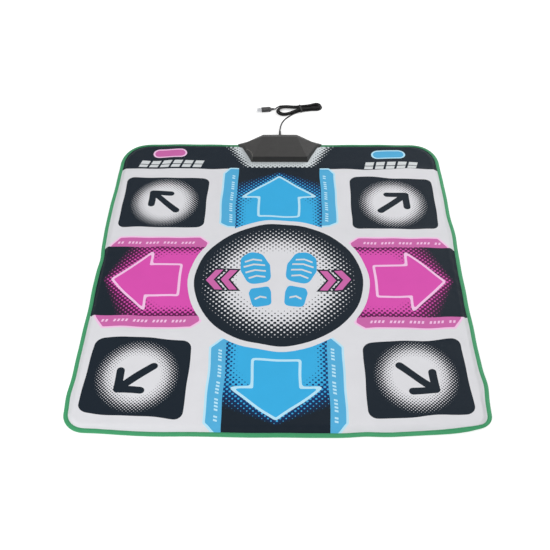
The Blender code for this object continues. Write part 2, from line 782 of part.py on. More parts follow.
def drill_clamp_holes(piece, name, bottom, top):
    holes = bmesh.new()
    for spot in clamp_screw_places():
        add_prism(holes, circle(spot, CLAMP_SCREW_RADIUS + GAP, HOLE_SIDES), bottom, top)
    combine(piece, cutter(name, holes), "DIFFERENCE")


def make_electronics(coats):
    """The circuit board with its covered chip, and the clamp that presses the film tails onto it."""
    plan = rectangle(-BOARD_HALF_WIDTH, BOARD_HALF_WIDTH, BOARD_FRONT_Y, BOARD_BACK_Y)
    board = prism("circuit_board", plan, BOARD_Z, BOARD_Z + BOARD_THICKNESS, coats["board"])
    drill_clamp_holes(board, "board_holes", BOARD_Z - GAP, BOARD_Z + BOARD_THICKNESS + GAP)

    base = BOARD_Z + BOARD_THICKNESS + GAP
    rings = []
    for step in range(5):
        lean = math.radians(80.0) * step / 4
        ring = circle((0.0, CHIP_Y), CHIP_RADIUS * math.cos(lean), ROUND_SIDES)
        rings.append([(x, y, base + CHIP_HEIGHT * math.sin(lean)) for x, y in ring])
    loft("chip_cover", rings, coats["resin"], smooth=True)

    half = CLAMP_SCREW_X - CLAMP_SCREW_RADIUS - 2 * GAP - SHELL_WALL
    pad = rectangle(-half, half, CLAMP_Y - PAD_DEPTH / 2, CLAMP_Y + PAD_DEPTH / 2)
    prism("clamp_pad", pad, PAD_Z, PAD_Z + PAD_THICKNESS, coats["rubber"])

    half = BOARD_HALF_WIDTH - GAP
    bar = rectangle(-half, half, CLAMP_Y - CLAMP_DEPTH / 2, CLAMP_Y + CLAMP_DEPTH / 2)
    clamp = prism("film_clamp_bar", bar, CLAMP_Z, CLAMP_Z + CLAMP_THICKNESS, coats["clamp"])
    drill_clamp_holes(clamp, "clamp_holes", CLAMP_Z - GAP, CLAMP_Z + CLAMP_THICKNESS + GAP)


def make_screw(name, place, sizes, material):
    """A pan-head screw with a cross slot, as (z, radius) up its axis and which end the head is."""
    head_z, tip_z, head_height, head_radius, shank_radius = sizes
    up = 1 if tip_z > head_z else -1
    stations = [
        (head_z, head_radius * 0.72),
        (head_z + up * head_height * 0.45, head_radius),
        (head_z + up * head_height, head_radius),
        (head_z + up * head_height, shank_radius),
        (tip_z - up * shank_radius, shank_radius),
        (tip_z, shank_radius * 0.3),
    ]
    rings = [[(x, y, z) for x, y in circle(place, radius, ROUND_SIDES)] for z, radius in stations]
    screw = loft(name, rings, material, smooth=True)
    slots = bmesh.new()
    x, y = place
    arm, half = head_radius * 0.6, DRIVER_SLOT / 2
    cross = [
        (arm, -half), (arm, half), (half, half), (half, arm), (-half, arm), (-half, half),
        (-arm, half), (-arm, -half), (-half, -half), (-half, -arm), (half, -arm), (half, -half),
    ]
    levels = sorted((head_z - up * GAP, head_z + up * head_height * 0.55))
    add_prism(slots, [(x + dx, y + dy) for dx, dy in cross], *levels)
    combine(screw, cutter(f"{name}_slot", slots), "DIFFERENCE")
    return screw


def make_screws(material):
    head_z = COUNTERBORE_DEPTH - GAP - SCREW_HEAD_HEIGHT
    case = (
        head_z,
        head_z + SCREW_HEAD_HEIGHT + SCREW_LENGTH,
        SCREW_HEAD_HEIGHT,
        SCREW_HEAD_RADIUS,
        SCREW_RADIUS,
    )
    for number, place in enumerate(post_places(), start=1):
        make_screw(f"case_screw_{number}", place, case, material)
    clamp_top = CLAMP_Z + CLAMP_THICKNESS + GAP
    clamp = (
        clamp_top + CLAMP_HEAD_HEIGHT,
        SHELL_FLOOR / 3 + GAP,
        CLAMP_HEAD_HEIGHT,
        CLAMP_HEAD_RADIUS,
        CLAMP_SCREW_RADIUS,
    )
    for number, place in enumerate(clamp_screw_places(), start=1):
        make_screw(f"clamp_screw_{number}", place, clamp, material)


def gland_faces():
    """Where along Y the gland's inner flange starts and ends, and its outer flange starts and ends."""
    top_of_flange = GLAND_HEIGHT + GLAND_FLANGE_RADIUS
    lean = BACK_LEAN * (top_of_flange - SHELL_SEAM) / (BEVEL_FOOT_HEIGHT - SHELL_SEAM)
    inner_end = BOX_BACK_Y - lean - SHELL_WALL - 2 * GAP
    outer_start = BOX_BACK_Y + GAP
    return inner_end - GLAND_FLANGE, inner_end, outer_start, outer_start + GLAND_FLANGE


def cord_exit_y():
    return gland_faces()[3] + RELIEF_LENGTH


def make_gland(material):
    """The strain relief: a grooved neck held in both shells, and a ringed tail that tapers to the cord."""
    start, inner_end, outer_start, outer_end = gland_faces()
    stations = [
        (start, GLAND_FLANGE_RADIUS),
        (inner_end, GLAND_FLANGE_RADIUS),
        (inner_end, GLAND_NECK_RADIUS),
        (outer_start, GLAND_NECK_RADIUS),
        (outer_start, GLAND_FLANGE_RADIUS),
        (outer_end, GLAND_FLANGE_RADIUS),
        (outer_end, RELIEF_ROOT_RADIUS),
    ]
    pitch = RELIEF_LENGTH / (RELIEF_RINGS + 1)
    for ring in range(1, RELIEF_RINGS + 1):
        along = ring * pitch
        radius = RELIEF_ROOT_RADIUS + (RELIEF_TIP_RADIUS - RELIEF_ROOT_RADIUS) * along / RELIEF_LENGTH
        stations += [
            (outer_end + along - pitch * 0.25, radius),
            (outer_end + along - pitch * 0.15, radius - RELIEF_GROOVE),
            (outer_end + along + pitch * 0.05, radius - RELIEF_GROOVE),
            (outer_end + along + pitch * 0.15, radius),
        ]
    stations.append((outer_end + RELIEF_LENGTH, RELIEF_TIP_RADIUS))
    rings = [
        [(x, y, z) for x, z in circle((0.0, GLAND_HEIGHT), radius, ROUND_SIDES)]
        for y, radius in stations
    ]
    loft("cable_gland", rings, material, smooth=True)


def smooth_route(route, spacing):
    """Points at an even spacing along a smooth curve through the route's points."""
    points = np.array(route, dtype=float)
    padded = np.vstack([2 * points[0] - points[1], points, 2 * points[-1] - points[-2]])
    fine = [points[0]]
    for i in range(1, len(padded) - 2):
        before, start, end, after = padded[i - 1 : i + 3]
        for t in np.linspace(0.0, 1.0, 25)[1:]:
            fine.append(
                0.5
                * (
                    2 * start
                    + (end - before) * t
                    + (2 * before - 5 * start + 4 * end - after) * t**2
                    + (3 * start - before - 3 * end + after) * t**3
                )
            )
    fine = np.array(fine)
    along = np.concatenate([[0.0], np.cumsum(np.linalg.norm(np.diff(fine, axis=0), axis=1))])
    count = max(3, round(along[-1] / spacing)) + 1
    even = np.linspace(0.0, along[-1], count)
    return np.column_stack([np.interp(even, along, fine[:, axis]) for axis in range(3)])


def make_tube(name, points, resolution, material):
    """A round tube with filled caps along a run of straight pieces."""
    curve = bpy.data.curves.new(name, "CURVE")
    curve.dimensions = "3D"
    curve.bevel_depth = CORD_DIAMETER / 2
    curve.bevel_resolution = resolution
    curve.use_fill_caps = True
    curve.materials.append(material)
    spline = curve.splines.new("POLY")
    spline.points.add(len(points) - 1)
    for place, point in zip(spline.points, points):
        place.co = (*point, 1.0)
    tube = bpy.data.objects.new(name, curve)
    bpy.context.scene.collection.objects.link(tube)
    return tube


def hank_half_width(along, offset):
    """How far a run lies from the hank's middle line: close to it, but in the left loop and the right fold."""
    loop = HANK_LEFT_LOOP * math.sin(math.pi * along / HANK_SPAN) ** 2
    if along > 0.0:
        opened = max(0.0, 1.0 - (HANK_SPAN / 2 - along) / HANK_RIGHT_REACH)
        loop = HANK_RIGHT_LOOP * opened * opened * (3 - 2 * opened)
    return offset + HANK_WAIST + loop


def hank_offset(run):
    """Runs spiral in to the climbing run, half a step each, and spiral out again above."""
    return abs(run - HANK_CLIMB_RUN) * HANK_STEP / 2


def hank_height(run, along, progress):
    layer = 0.0 if run < HANK_CLIMB_RUN else 1.0
    if run == HANK_CLIMB_RUN:
        layer = progress * progress * (3 - 2 * progress)
    lift = (TIE_THICKNESS + GAP) * math.exp(-((along / TIE_LIFT_REACH) ** 2))
    return cord_rest_height() + layer * HANK_LAYER_STEP + lift


def cord_rest_height():
    return CORD_DIAMETER / 2 + GAP / 3


def hank_path():
    """The folded cord's centre line: front runs go right and back runs left, with folds between."""
    half = HANK_SPAN / 2
    points = []
    for run in range(HANK_RUNS):
        side = -1 if run % 2 == 0 else 1
        start, end = (-half, half) if side < 0 else (half, -half)
        if run == 0:
            start = HANK_START
        count = max(2, round(HANK_POINTS * abs(end - start) / HANK_SPAN))
        for i in range(count + 1):
            progress = i / count
            along = start + (end - start) * progress
            across = side * hank_half_width(along, hank_offset(run))
            points.append((along, across, hank_height(run, along, progress)))
        if run == HANK_RUNS - 1:
            break
        fold_start = hank_half_width(end, hank_offset(run))
        fold_end = hank_half_width(end, hank_offset(run + 1))
        for i in range(1, HANK_POINTS):
            turn = math.pi * i / HANK_POINTS
            radius = fold_start + (fold_end - fold_start) * i / HANK_POINTS
            along = end - side * radius * math.sin(turn)
            across = side * radius * math.cos(turn)
            points.append((along, across, hank_height(run + 1 if run > HANK_CLIMB_RUN else run, end, 1.0)))
    return stand(points, (HANK_X, HANK_Y), HANK_ANGLE)


def least_gap(path):
    """The smallest distance between the tube's surfaces where it passes itself."""
    corners = np.array(path)
    fine = np.vstack(
        [np.linspace(a, b, 12, endpoint=False) for a, b in zip(corners, corners[1:])] + [corners[-1:]]
    )
    along = np.concatenate([[0.0], np.cumsum(np.linalg.norm(np.diff(fine, axis=0), axis=1))])
    apart = np.linalg.norm(fine[:, None] - fine[None, :], axis=2)
    apart[np.abs(along[:, None] - along[None, :]) < 4 * CORD_DIAMETER] = np.inf
    return apart.min() - CORD_DIAMETER


def path_length(points):
    return float(np.linalg.norm(np.diff(np.array(points), axis=0), axis=1).sum())


def make_cord(coat):
    """The cord: a stub inside the box, the free lead, the hank and the tail to the plug."""
    inner_start, _, _, _ = gland_faces()
    board_top = BOARD_Z + BOARD_THICKNESS + GAP + CORD_DIAMETER / 2
    inside = [
        (0.0, inner_start - GAP, GLAND_HEIGHT),
        (0.0, inner_start - CORD_DIAMETER, GLAND_HEIGHT),
        (0.0, (inner_start + BOARD_BACK_Y) / 2 - CORD_DIAMETER, (GLAND_HEIGHT + board_top) / 2),
        (0.0, BOARD_BACK_Y - CORD_DIAMETER, board_top + GAP / 3),
        (0.0, BOARD_BACK_Y - 3 * CORD_DIAMETER, board_top + GAP / 3),
    ]
    make_tube("inner_cord", smooth_route(inside, 1.2 * CORD_DIAMETER), 2, coat)

    hank = hank_path()
    make_tube("cord_hank", hank, 1, coat)

    exit_y = cord_exit_y() + GAP
    start = [(0.0, exit_y, GLAND_HEIGHT), (0.0, exit_y + 2 * CORD_DIAMETER, GLAND_HEIGHT - GAP)]
    lead = smooth_route(start + LEAD_ROUTE + approach(hank[1], hank[0]), 2.5 * CORD_DIAMETER)
    make_tube("cord_lead", lead, 2, coat)

    plug_back = (PLUG_X, PLUG_Y, PLUG_HEIGHT / 2)
    plug_ahead = stand([(PLUG_NECK_LENGTH, 0.0, PLUG_HEIGHT / 2)], (PLUG_X, PLUG_Y), PLUG_ANGLE)[0]
    leave = list(reversed(approach(hank[-2], hank[-1])))
    tail = smooth_route(leave + TAIL_ROUTE + approach(plug_ahead, plug_back), 1.5 * CORD_DIAMETER)
    make_tube("cord_tail", tail, 2, coat)

    print(f"least gap of the hank to itself {least_gap(hank) * 1000:.2f} mm")
    print(f"cord length {path_length(lead) + path_length(hank) + path_length(tail):.3f} m")


def approach(inside, face):
    """Two points that bring a tube straight and square to an end face, a gap short of it."""
    away = (Vector(face) - Vector(inside)).normalized()
    return [tuple(Vector(face) + away * reach) for reach in (1.5 * CORD_DIAMETER, GAP)]


def waist_half(offset):
    """Half the hank's width at the edges of the tie, on the straight pieces either side of the middle."""
    piece = HANK_SPAN / HANK_POINTS
    middle = hank_half_width(0.0, offset)
    beside = max(hank_half_width(piece, offset), hank_half_width(-piece, offset))
    return middle + (beside - middle) * TIE_WIDTH / 2 / piece


def make_tie(material):
    """The band round the hank's waist."""
    front, back = (waist_half(hank_offset(run)) + CORD_DIAMETER / 2 + GAP for run in (0, HANK_RUNS - 1))
    bottom = GAP / 3
    top = hank_height(HANK_RUNS, 0.0, 1.0) + CORD_DIAMETER / 2 + GAP + TIE_THICKNESS
    centre = ((back - front) / 2, (bottom + top) / 2)
    width, height = front + back, top - bottom
    rings = []
    for along, wall in ((-1, 1), (1, 1), (1, 0), (-1, 0)):
        loop = rounded_rectangle(
            centre,
            width + 2 * wall * TIE_THICKNESS,
            height - 2 * (1 - wall) * TIE_THICKNESS,
            CORD_DIAMETER / 3 + wall * TIE_THICKNESS,
            2,
        )
        points = [(along * TIE_WIDTH / 2, y, z) for y, z in loop]
        rings.append(stand(points, (HANK_X, HANK_Y), HANK_ANGLE))
    shape = bmesh.new()
    add_loft(shape, rings, closed=True)
    return new_object("cord_tie", shape, material)


def plug_rings(stations):
    """Rounded sections across the plug's own length, stood in place: (along, width, height, round, z)."""
    rings = []
    for along, width, height, radius, z in stations:
        loop = rounded_rectangle((0.0, z), width, height, radius, 3)
        rings.append(stand([(along, y, up) for y, up in loop], (PLUG_X, PLUG_Y), PLUG_ANGLE))
    return rings


def make_plug(coats):
    """The USB plug: moulded grip, folded metal contact shell and the plastic tongue inside it."""
    middle = PLUG_HEIGHT / 2
    face = PLUG_NECK_LENGTH + PLUG_BODY_LENGTH
    neck = 2 * PLUG_NECK_RADIUS
    soft = PLUG_ROUND / 2
    stations = [
        (0.0, neck, neck, PLUG_NECK_RADIUS * 0.9, middle),
        (PLUG_NECK_LENGTH * 0.55, neck * 1.1, neck, PLUG_NECK_RADIUS * 0.9, middle),
        (PLUG_NECK_LENGTH, PLUG_WIDTH - soft, PLUG_HEIGHT - soft, PLUG_ROUND, middle),
        (PLUG_NECK_LENGTH + soft, PLUG_WIDTH, PLUG_HEIGHT, PLUG_ROUND, middle),
        (face - soft, PLUG_WIDTH, PLUG_HEIGHT, PLUG_ROUND, middle),
        (face, PLUG_WIDTH - soft, PLUG_HEIGHT - soft, PLUG_ROUND, middle),
    ]
    body = loft("plug_body", plug_rings(stations), coats["plastic"], smooth=True)

    seat = bmesh.new()
    hole = (CONTACT_WIDTH + 2 * GAP, CONTACT_HEIGHT + 2 * GAP, CONTACT_WALL, middle)
    add_loft(seat, plug_rings([(face - CONTACT_SEAT, *hole), (face + GAP, *hole)]))
    combine(body, cutter("contact_seat", seat), "DIFFERENCE")

    start, end = face - CONTACT_SEAT + GAP, face + CONTACT_LENGTH - CONTACT_SEAT
    outer = (CONTACT_WIDTH, CONTACT_HEIGHT, 2 * CONTACT_WALL, middle)
    inner = (CONTACT_WIDTH - 2 * CONTACT_WALL, CONTACT_HEIGHT - 2 * CONTACT_WALL, CONTACT_WALL, middle)
    shape = bmesh.new()
    add_loft(shape, plug_rings([(start, *outer), (end, *outer), (end, *inner), (start, *inner)]), closed=True)
    new_object("plug_shell", shape, coats["steel"])

    inside_floor = middle - CONTACT_HEIGHT / 2 + CONTACT_WALL + GAP
    tongue = (
        CONTACT_WIDTH - 2 * CONTACT_WALL - 2 * GAP,
        TONGUE_THICKNESS,
        CONTACT_WALL,
        inside_floor + TONGUE_THICKNESS / 2,
    )
    rings = plug_rings([(start, *tongue), (end - TONGUE_SETBACK, *tongue)])
    loft("plug_tongue", rings, coats["tongue"])


def make_mat(coats):
    make_bottom_cover(coats["underside"])
    make_lower_film(coats["film"])
    make_spacer_foam(coats["foam"])
    make_upper_film(coats["film"])
    make_padding_foam(coats["foam"])
    make_top_cover(coats["ground"])
    make_binding(coats["binding"])
    ink = {"up": "blue", "down": "blue", "start": "blue", "left": "pink", "right": "pink", "select": "pink"}
    for name, plan in zones(0.0).items():
        layers = {
            "cover_patch": coats[ink.get(name, "navy")],
            "foam_patch": coats["foam"],
            "contact_patch": coats["film"],
        }
        make_zone(name, plan, layers)


def make_box(coats):
    make_bottom_shell(coats["plastic"])
    make_electronics(coats)
    make_screws(coats["steel"])
    make_gland(coats["plastic"])
    make_top_shell(coats["plastic"])


def make_coats():
    return {
        "ground": paint("printed_cloth", (0.76, 0.77, 0.79), 0.55),
        "navy": paint("navy_print", (0.022, 0.034, 0.050), 0.50),
        "blue": paint("blue_print", (0.045, 0.42, 0.79), 0.50),
        "pink": paint("pink_print", (0.76, 0.085, 0.46), 0.50),
        "underside": paint("anti_slip_cloth", (0.045, 0.045, 0.050), 0.85),
        "film": paint("carbon_film", (0.09, 0.10, 0.11), 0.35),
        "foam": paint("foam", (0.82, 0.82, 0.80), 0.95),
        "binding": paint("green_tape", (0.055, 0.40, 0.16), 0.60),
        "plastic": paint("black_plastic", (0.035, 0.034, 0.034), 0.55),
        "board": paint("board_laminate", (0.20, 0.13, 0.05), 0.45),
        "resin": paint("black_resin", (0.010, 0.010, 0.010), 0.25),
        "rubber": paint("clamp_rubber", (0.06, 0.06, 0.06), 0.90),
        "clamp": paint("clamp_plastic", (0.70, 0.70, 0.68), 0.50),
        "steel": paint("bright_steel", (0.62, 0.62, 0.63), 0.28, 1.0),
        "cord": paint("cord_jacket", (0.012, 0.012, 0.013), 0.45),
        "tongue": paint("tongue_plastic", (0.80, 0.80, 0.80), 0.40),
    }


def main():
    clear_scene()
    coats = make_coats()
    make_mat(coats)
    make_box(coats)
    make_cord(coats["cord"])
    make_tie(coats["cord"])
    make_plug(coats)


main()
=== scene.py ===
"""Looks of a soft dance mat, laid on a pale floor, with its controller box and its folded USB cord.

Metres, +Z up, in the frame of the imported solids: the origin is on the floor under the mat's centre,
+Y runs to the edge with the controller box and +X is to the right.
"""

import json
import math

import bpy
import numpy as np
from mathutils import Matrix, Vector
from mathutils.geometry import delaunay_2d_cdt

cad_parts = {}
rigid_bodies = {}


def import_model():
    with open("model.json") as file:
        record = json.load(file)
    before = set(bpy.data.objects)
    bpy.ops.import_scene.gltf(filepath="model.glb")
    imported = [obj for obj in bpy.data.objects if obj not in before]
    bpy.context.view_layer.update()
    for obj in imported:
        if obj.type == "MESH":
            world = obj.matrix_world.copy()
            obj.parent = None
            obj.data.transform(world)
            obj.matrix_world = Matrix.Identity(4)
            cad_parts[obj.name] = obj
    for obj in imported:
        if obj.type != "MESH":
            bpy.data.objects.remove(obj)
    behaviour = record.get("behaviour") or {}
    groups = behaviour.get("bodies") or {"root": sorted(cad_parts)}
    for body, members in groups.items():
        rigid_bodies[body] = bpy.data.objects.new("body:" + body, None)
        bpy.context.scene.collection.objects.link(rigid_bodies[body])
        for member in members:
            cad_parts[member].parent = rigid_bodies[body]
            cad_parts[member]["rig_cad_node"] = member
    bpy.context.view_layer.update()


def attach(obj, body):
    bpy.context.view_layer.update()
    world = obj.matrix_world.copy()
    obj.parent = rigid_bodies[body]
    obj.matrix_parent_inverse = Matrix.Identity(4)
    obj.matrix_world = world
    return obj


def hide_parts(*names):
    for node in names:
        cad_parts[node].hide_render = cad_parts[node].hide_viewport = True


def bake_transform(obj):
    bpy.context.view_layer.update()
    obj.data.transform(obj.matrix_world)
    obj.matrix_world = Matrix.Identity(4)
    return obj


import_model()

# Sizes that the solids have too
MAT_HALF_X, MAT_HALF_Y = 0.4100, 0.4567
BACK_RADIUS, FRONT_RADIUS = 0.080, 0.048
COVER_TOP = 0.0082
DISC_Y, DISC_RADIUS, ARC_RADIUS = -0.0535, 0.186, 0.200
BOX_PLAN = [
    (0.073, 0.3740),
    (0.110, 0.4567),
    (0.048, 0.4842),
    (-0.048, 0.4842),
    (-0.110, 0.4567),
    (-0.073, 0.3740),
]
MOUTH_END_Y = 0.4367
CORD_DIAMETER = 0.0035

# Colours as they look
GROUND = (222, 222, 226)
NAVY = (22, 32, 42)
BLUE = (58, 174, 227)
BAR_BLUE = (84, 174, 219)
DEEP_BLUE = (18, 50, 104)
PINK = (219, 82, 177)
BAR_PINK = (204, 104, 170)
DEEP_PINK = (92, 26, 76)
PALE_BLUE = (184, 228, 246)
PALE_PINK = (244, 198, 232)
GREEN = (54, 152, 100)
ART_BLUE = (62, 170, 222)
HEADER_GLOW = (214, 221, 224)
WHITE = (214, 218, 220)

# The world's light at the horizon and overhead, the lamps' power, and the floor's own glow
HORIZON_LEVEL, ZENITH_LEVEL = 0.40, 0.56
LAMP_POWER = 42.0
FLOOR_GLOW = 0.36
# The floor turns into the white backdrop between these distances from the mat's centre
FLOOR_FADE = 1.2, 3.2


def linear(colour):
    parts = [c / 255 for c in colour]
    return tuple(p / 12.92 if p <= 0.04045 else ((p + 0.055) / 1.055) ** 2.4 for p in parts)


def add_object(name, data):
    obj = bpy.data.objects.new(name, data)
    bpy.context.scene.collection.objects.link(obj)
    return obj


# Node trees and materials


class Field:
    """A value that varies over a surface, with arithmetic that adds the nodes for it."""

    def __init__(self, nodes, socket):
        self.nodes = nodes
        self.socket = socket

    def __add__(self, other):
        return self.nodes.calc("ADD", self, other)

    def __sub__(self, other):
        return self.nodes.calc("SUBTRACT", self, other)

    def __rsub__(self, other):
        return self.nodes.calc("SUBTRACT", other, self)

    def __mul__(self, other):
        return self.nodes.calc("MULTIPLY", self, other)

    def __truediv__(self, other):
        return self.nodes.calc("DIVIDE", self, other)

    def __abs__(self):
        return self.nodes.calc("ABSOLUTE", self)


class Nodes:
    """The nodes of a material or of the world, with short ways to add to them."""

    def __init__(self, owner, shader):
        owner.use_nodes = True
        self.tree = owner.node_tree
        self.shader = self.tree.nodes[shader]

    def node(self, kind):
        return self.tree.nodes.new(kind)

    def link(self, start, end):
        self.tree.links.new(getattr(start, "socket", start), end)

    def put(self, value, socket):
        if isinstance(value, (int, float)):
            socket.default_value = value
        elif isinstance(value, tuple):
            socket.default_value = (*value, 1.0)
        else:
            self.link(value, socket)

    def set(self, **values):
        """Give the shader's inputs their values, by their names with _ for each space."""
        for name, value in values.items():
            self.put(value, self.shader.inputs[name.replace("_", " ")])

    def calc(self, operation, *values, clamp=False):
        node = self.node("ShaderNodeMath")
        node.operation = operation
        node.use_clamp = clamp
        for socket, value in zip(node.inputs, values):
            self.put(value, socket)
        return Field(self, node.outputs[0])

    def fade(self, value, low, high, first=0.0, last=1.0):
        """From first at low to last at high, with straight lines between."""
        node = self.node("ShaderNodeMapRange")
        for name, given in (("From Min", low), ("From Max", high), ("To Min", first), ("To Max", last)):
            self.put(given, node.inputs[name])
        self.put(value, node.inputs["Value"])
        return Field(self, node.outputs["Result"])

    def backdrop_rays(self):
        """1 for rays from the camera and in gloss and glass, which all meet the same white backdrop."""
        path = self.node("ShaderNodeLightPath")
        share = path.outputs["Is Camera Ray"]
        for kind in ("Is Glossy Ray", "Is Transmission Ray"):
            share = self.calc("ADD", share, path.outputs[kind], clamp=True)
        return share


class Paint(Nodes):
    """A Principled material, with short ways to add the nodes that vary it over the surface."""

    def __init__(self, name, colour, roughness, metallic=0.0, specular=0.5):
        self.material = bpy.data.materials.new(name)
        super().__init__(self.material, "Principled BSDF")
        self.colour = self.node("ShaderNodeRGB").outputs[0]
        self.put(linear(colour), self.colour)
        self.set(Roughness=roughness, Metallic=metallic, Specular_IOR_Level=specular)
        self.spot = self.node("ShaderNodeTexCoord").outputs["Object"]
        split = self.node("ShaderNodeSeparateXYZ")
        self.link(self.spot, split.inputs[0])
        self.x, self.y, self.z = [Field(self, socket) for socket in split.outputs]

    def mix(self, share, first, second):
        node = self.node("ShaderNodeMix")
        node.data_type = "RGBA"
        for number, value in ((0, share), (6, first), (7, second)):
            self.put(value, node.inputs[number])
        return node.outputs[2]

    def ink(self, share, colour):
        """Lay another colour over the present one where share is 1."""
        self.colour = self.mix(share, self.colour, colour)

    def noise(self, scale, detail=2.0):
        node = self.node("ShaderNodeTexNoise")
        node.inputs["Scale"].default_value = scale
        node.inputs["Detail"].default_value = detail
        self.link(self.spot, node.inputs["Vector"])
        return Field(self, node.outputs["Fac"])

    def length(self, first, second):
        return self.calc("SQRT", first * first + second * second)

    def halftone(self, cover, pitch, soft=0.10):
        """1 inside printed dots that grow and join as cover goes from 0 to 1."""
        turn = math.tau / (math.sqrt(2) * pitch)
        waves = [self.calc("COSINE", way * turn) for way in (self.x + self.y, self.x - self.y)]
        spot = (waves[0] + waves[1]) * 0.25 + 0.5
        level = cover * (1 + soft) - soft / 2
        return self.calc("MULTIPLY_ADD", level - spot, 1 / soft, 0.5, clamp=True)

    def dapple(self, scale, depth):
        """Slight patches lighter and darker."""
        patch = self.node("ShaderNodeHueSaturation")
        self.link(self.colour, patch.inputs["Color"])
        self.link(self.noise(scale) * (2 * depth) + (1 - depth), patch.inputs["Value"])
        self.colour = patch.outputs["Color"]

    def uneven_gloss(self, scale, low, depth):
        """A roughness between low and low + depth."""
        self.set(Roughness=self.noise(scale) * depth + low)

    def relief(self, height, distance):
        bump = self.node("ShaderNodeBump")
        bump.inputs["Distance"].default_value = distance
        self.link(height, bump.inputs["Height"])
        if self.shader.inputs["Normal"].links:
            self.link(self.shader.inputs["Normal"].links[0].from_socket, bump.inputs["Normal"])
        self.set(Normal=bump.outputs["Normal"])

    def weave(self, pitch, depth, *ways):
        """Fine threads that cross."""
        warp, weft = [self.calc("SINE", way * (math.tau / pitch)) for way in ways]
        self.relief(warp * weft, depth)

    def done(self):
        self.set(Base_Color=self.colour)
        return self.material


# Camera and stage


def make_camera():
    pitch, yaw, roll = math.radians(44.733), math.radians(-0.894), math.radians(-0.455)
    ahead = Vector((math.sin(yaw) * math.cos(pitch), math.cos(yaw) * math.cos(pitch), -math.sin(pitch)))
    right = Vector((math.cos(yaw), -math.sin(yaw), 0.0))
    up = right.cross(ahead)
    turned = math.cos(roll) * right + math.sin(roll) * up
    up = -math.sin(roll) * right + math.cos(roll) * up
    data = bpy.data.cameras.new("camera")
    data.lens = 55.07
    data.sensor_width = 36.0
    data.clip_end = 60.0
    camera = add_object("camera", data)
    camera.matrix_world = Matrix.Translation((0.0129, -1.3625, 1.3216)) @ Matrix(
        [(turned[i], up[i], -ahead[i]) for i in range(3)]
    ).to_4x4()
    bpy.context.scene.camera = camera


def make_lamp(name, place, aim, size):
    data = bpy.data.lights.new(name, "AREA")
    data.shape = "DISK"
    data.size = size
    data.energy = LAMP_POWER
    lamp = add_object(name, data)
    lamp.location = place
    lamp.rotation_mode = "QUATERNION"
    lamp.rotation_quaternion = (Vector(aim) - Vector(place)).to_track_quat("-Z", "Y")


def make_stage():
    scene = bpy.context.scene
    scene.view_settings.view_transform = "Standard"
    scene.world = scene.world or bpy.data.worlds.new("studio")
    sky = Nodes(scene.world, "Background")
    way = sky.node("ShaderNodeSeparateXYZ")
    sky.link(sky.node("ShaderNodeTexCoord").outputs["Generated"], way.inputs[0])
    level = sky.fade(way.outputs["Z"], 0.0, 0.7, HORIZON_LEVEL, ZENITH_LEVEL)
    sky.set(Color=(1.0, 1.0, 1.0), Strength=sky.fade(sky.backdrop_rays(), 0.0, 1.0, level, 1.0))

    make_lamp("front_lamp", (-1.3, -2.2, 1.8), (0.0, 0.0, 0.0), 1.2)
    make_lamp("back_lamp", (1.9, 2.2, 1.8), (0.0, 0.2, 0.0), 1.4)

    mesh = bpy.data.meshes.new("floor")
    corners = [(7.0 * x, 7.0 * y, -0.0002) for x, y in ((-1, -1), (1, -1), (1, 1), (-1, 1))]
    mesh.from_pydata(corners, [], [(0, 1, 2, 3)])
    floor = add_object("floor", mesh)
    material = bpy.data.materials.new("floor")
    look = Nodes(material, "Principled BSDF")
    look.set(Base_Color=(0.90, 0.90, 0.90), Roughness=0.9, Specular_IOR_Level=0.1)
    away = look.node("ShaderNodeVectorMath")
    away.operation = "LENGTH"
    look.link(look.node("ShaderNodeTexCoord").outputs["Object"], away.inputs[0])
    glow = look.fade(away.outputs["Value"], *FLOOR_FADE, FLOOR_GLOW, 1.0)
    look.set(Emission_Color=(1.0, 1.0, 1.0), Emission_Strength=look.backdrop_rays() * glow)
    mesh.materials.append(material)


make_camera()
make_stage()


# Printed cloth

# The distance between printed dots on the disc, in the corners' ovals, and on the panels and the header
DISC_DOTS, OVAL_DOTS, PANEL_DOTS = 0.0094, 0.0051, 0.0082


def cloth(name, colour, pattern=None):
    """Coated woven cloth with printed ink: a fine weave, faint creases and slightly uneven ink."""
    paint = Paint(name, colour, 0.52, specular=0.09)
    if pattern:
        pattern(paint)
    paint.dapple(24.0, 0.035)
    paint.weave(0.0011, 0.00004, paint.x, paint.y)
    paint.relief(paint.noise(55.0, 3.0), 0.0006)
    paint.uneven_gloss(90.0, 0.47, 0.12)
    return paint.done()


def disc_pattern(paint):
    away = paint.length(paint.x, paint.y - DISC_Y)
    paint.ink(paint.halftone(paint.fade(away, 0.174, 0.084), DISC_DOTS), linear(GROUND))


def oval_pattern(centre):
    """The pale halftone oval round a point of a corner panel."""

    def pattern(paint):
        away = paint.length((paint.x - centre[0]) / 0.072, (paint.y - centre[1]) / 0.078)
        paint.ink(paint.halftone(paint.fade(away, 1.19, 0.60), OVAL_DOTS), linear(GROUND))

    return pattern


def panel_pattern(side, deep):
    """The fade from a panel's colour to its dark ends and sides, in deeper dots beside the arrow."""

    def pattern(paint):
        turn, shift, tip = PANELS[side][:3]
        across, out = paint.x, paint.y - DISC_Y
        if side in ("left", "right"):
            across, out = out, across
        across = abs(across - (shift if turn < 180 else -shift))
        out = abs(out) - tip
        # How far a point lies in front of the arrow's slanted edges, as a share of the dots' reach there,
        # which is greater beside the arrow's wings than at its tip
        ahead = (across * 0.664 + out * 0.748) / (across * 0.38 + 0.013)
        ends = paint.calc("MULTIPLY_ADD", ahead, 0.5, 0.50, clamp=True)
        sides = paint.fade(across, 0.076, 0.106) * 0.74
        dark = paint.mix(paint.fade(ahead, 0.25, 0.95), linear(deep), linear(NAVY))
        paint.ink(paint.halftone(paint.calc("MAXIMUM", ends, sides), PANEL_DOTS, 0.12), dark)

    return pattern


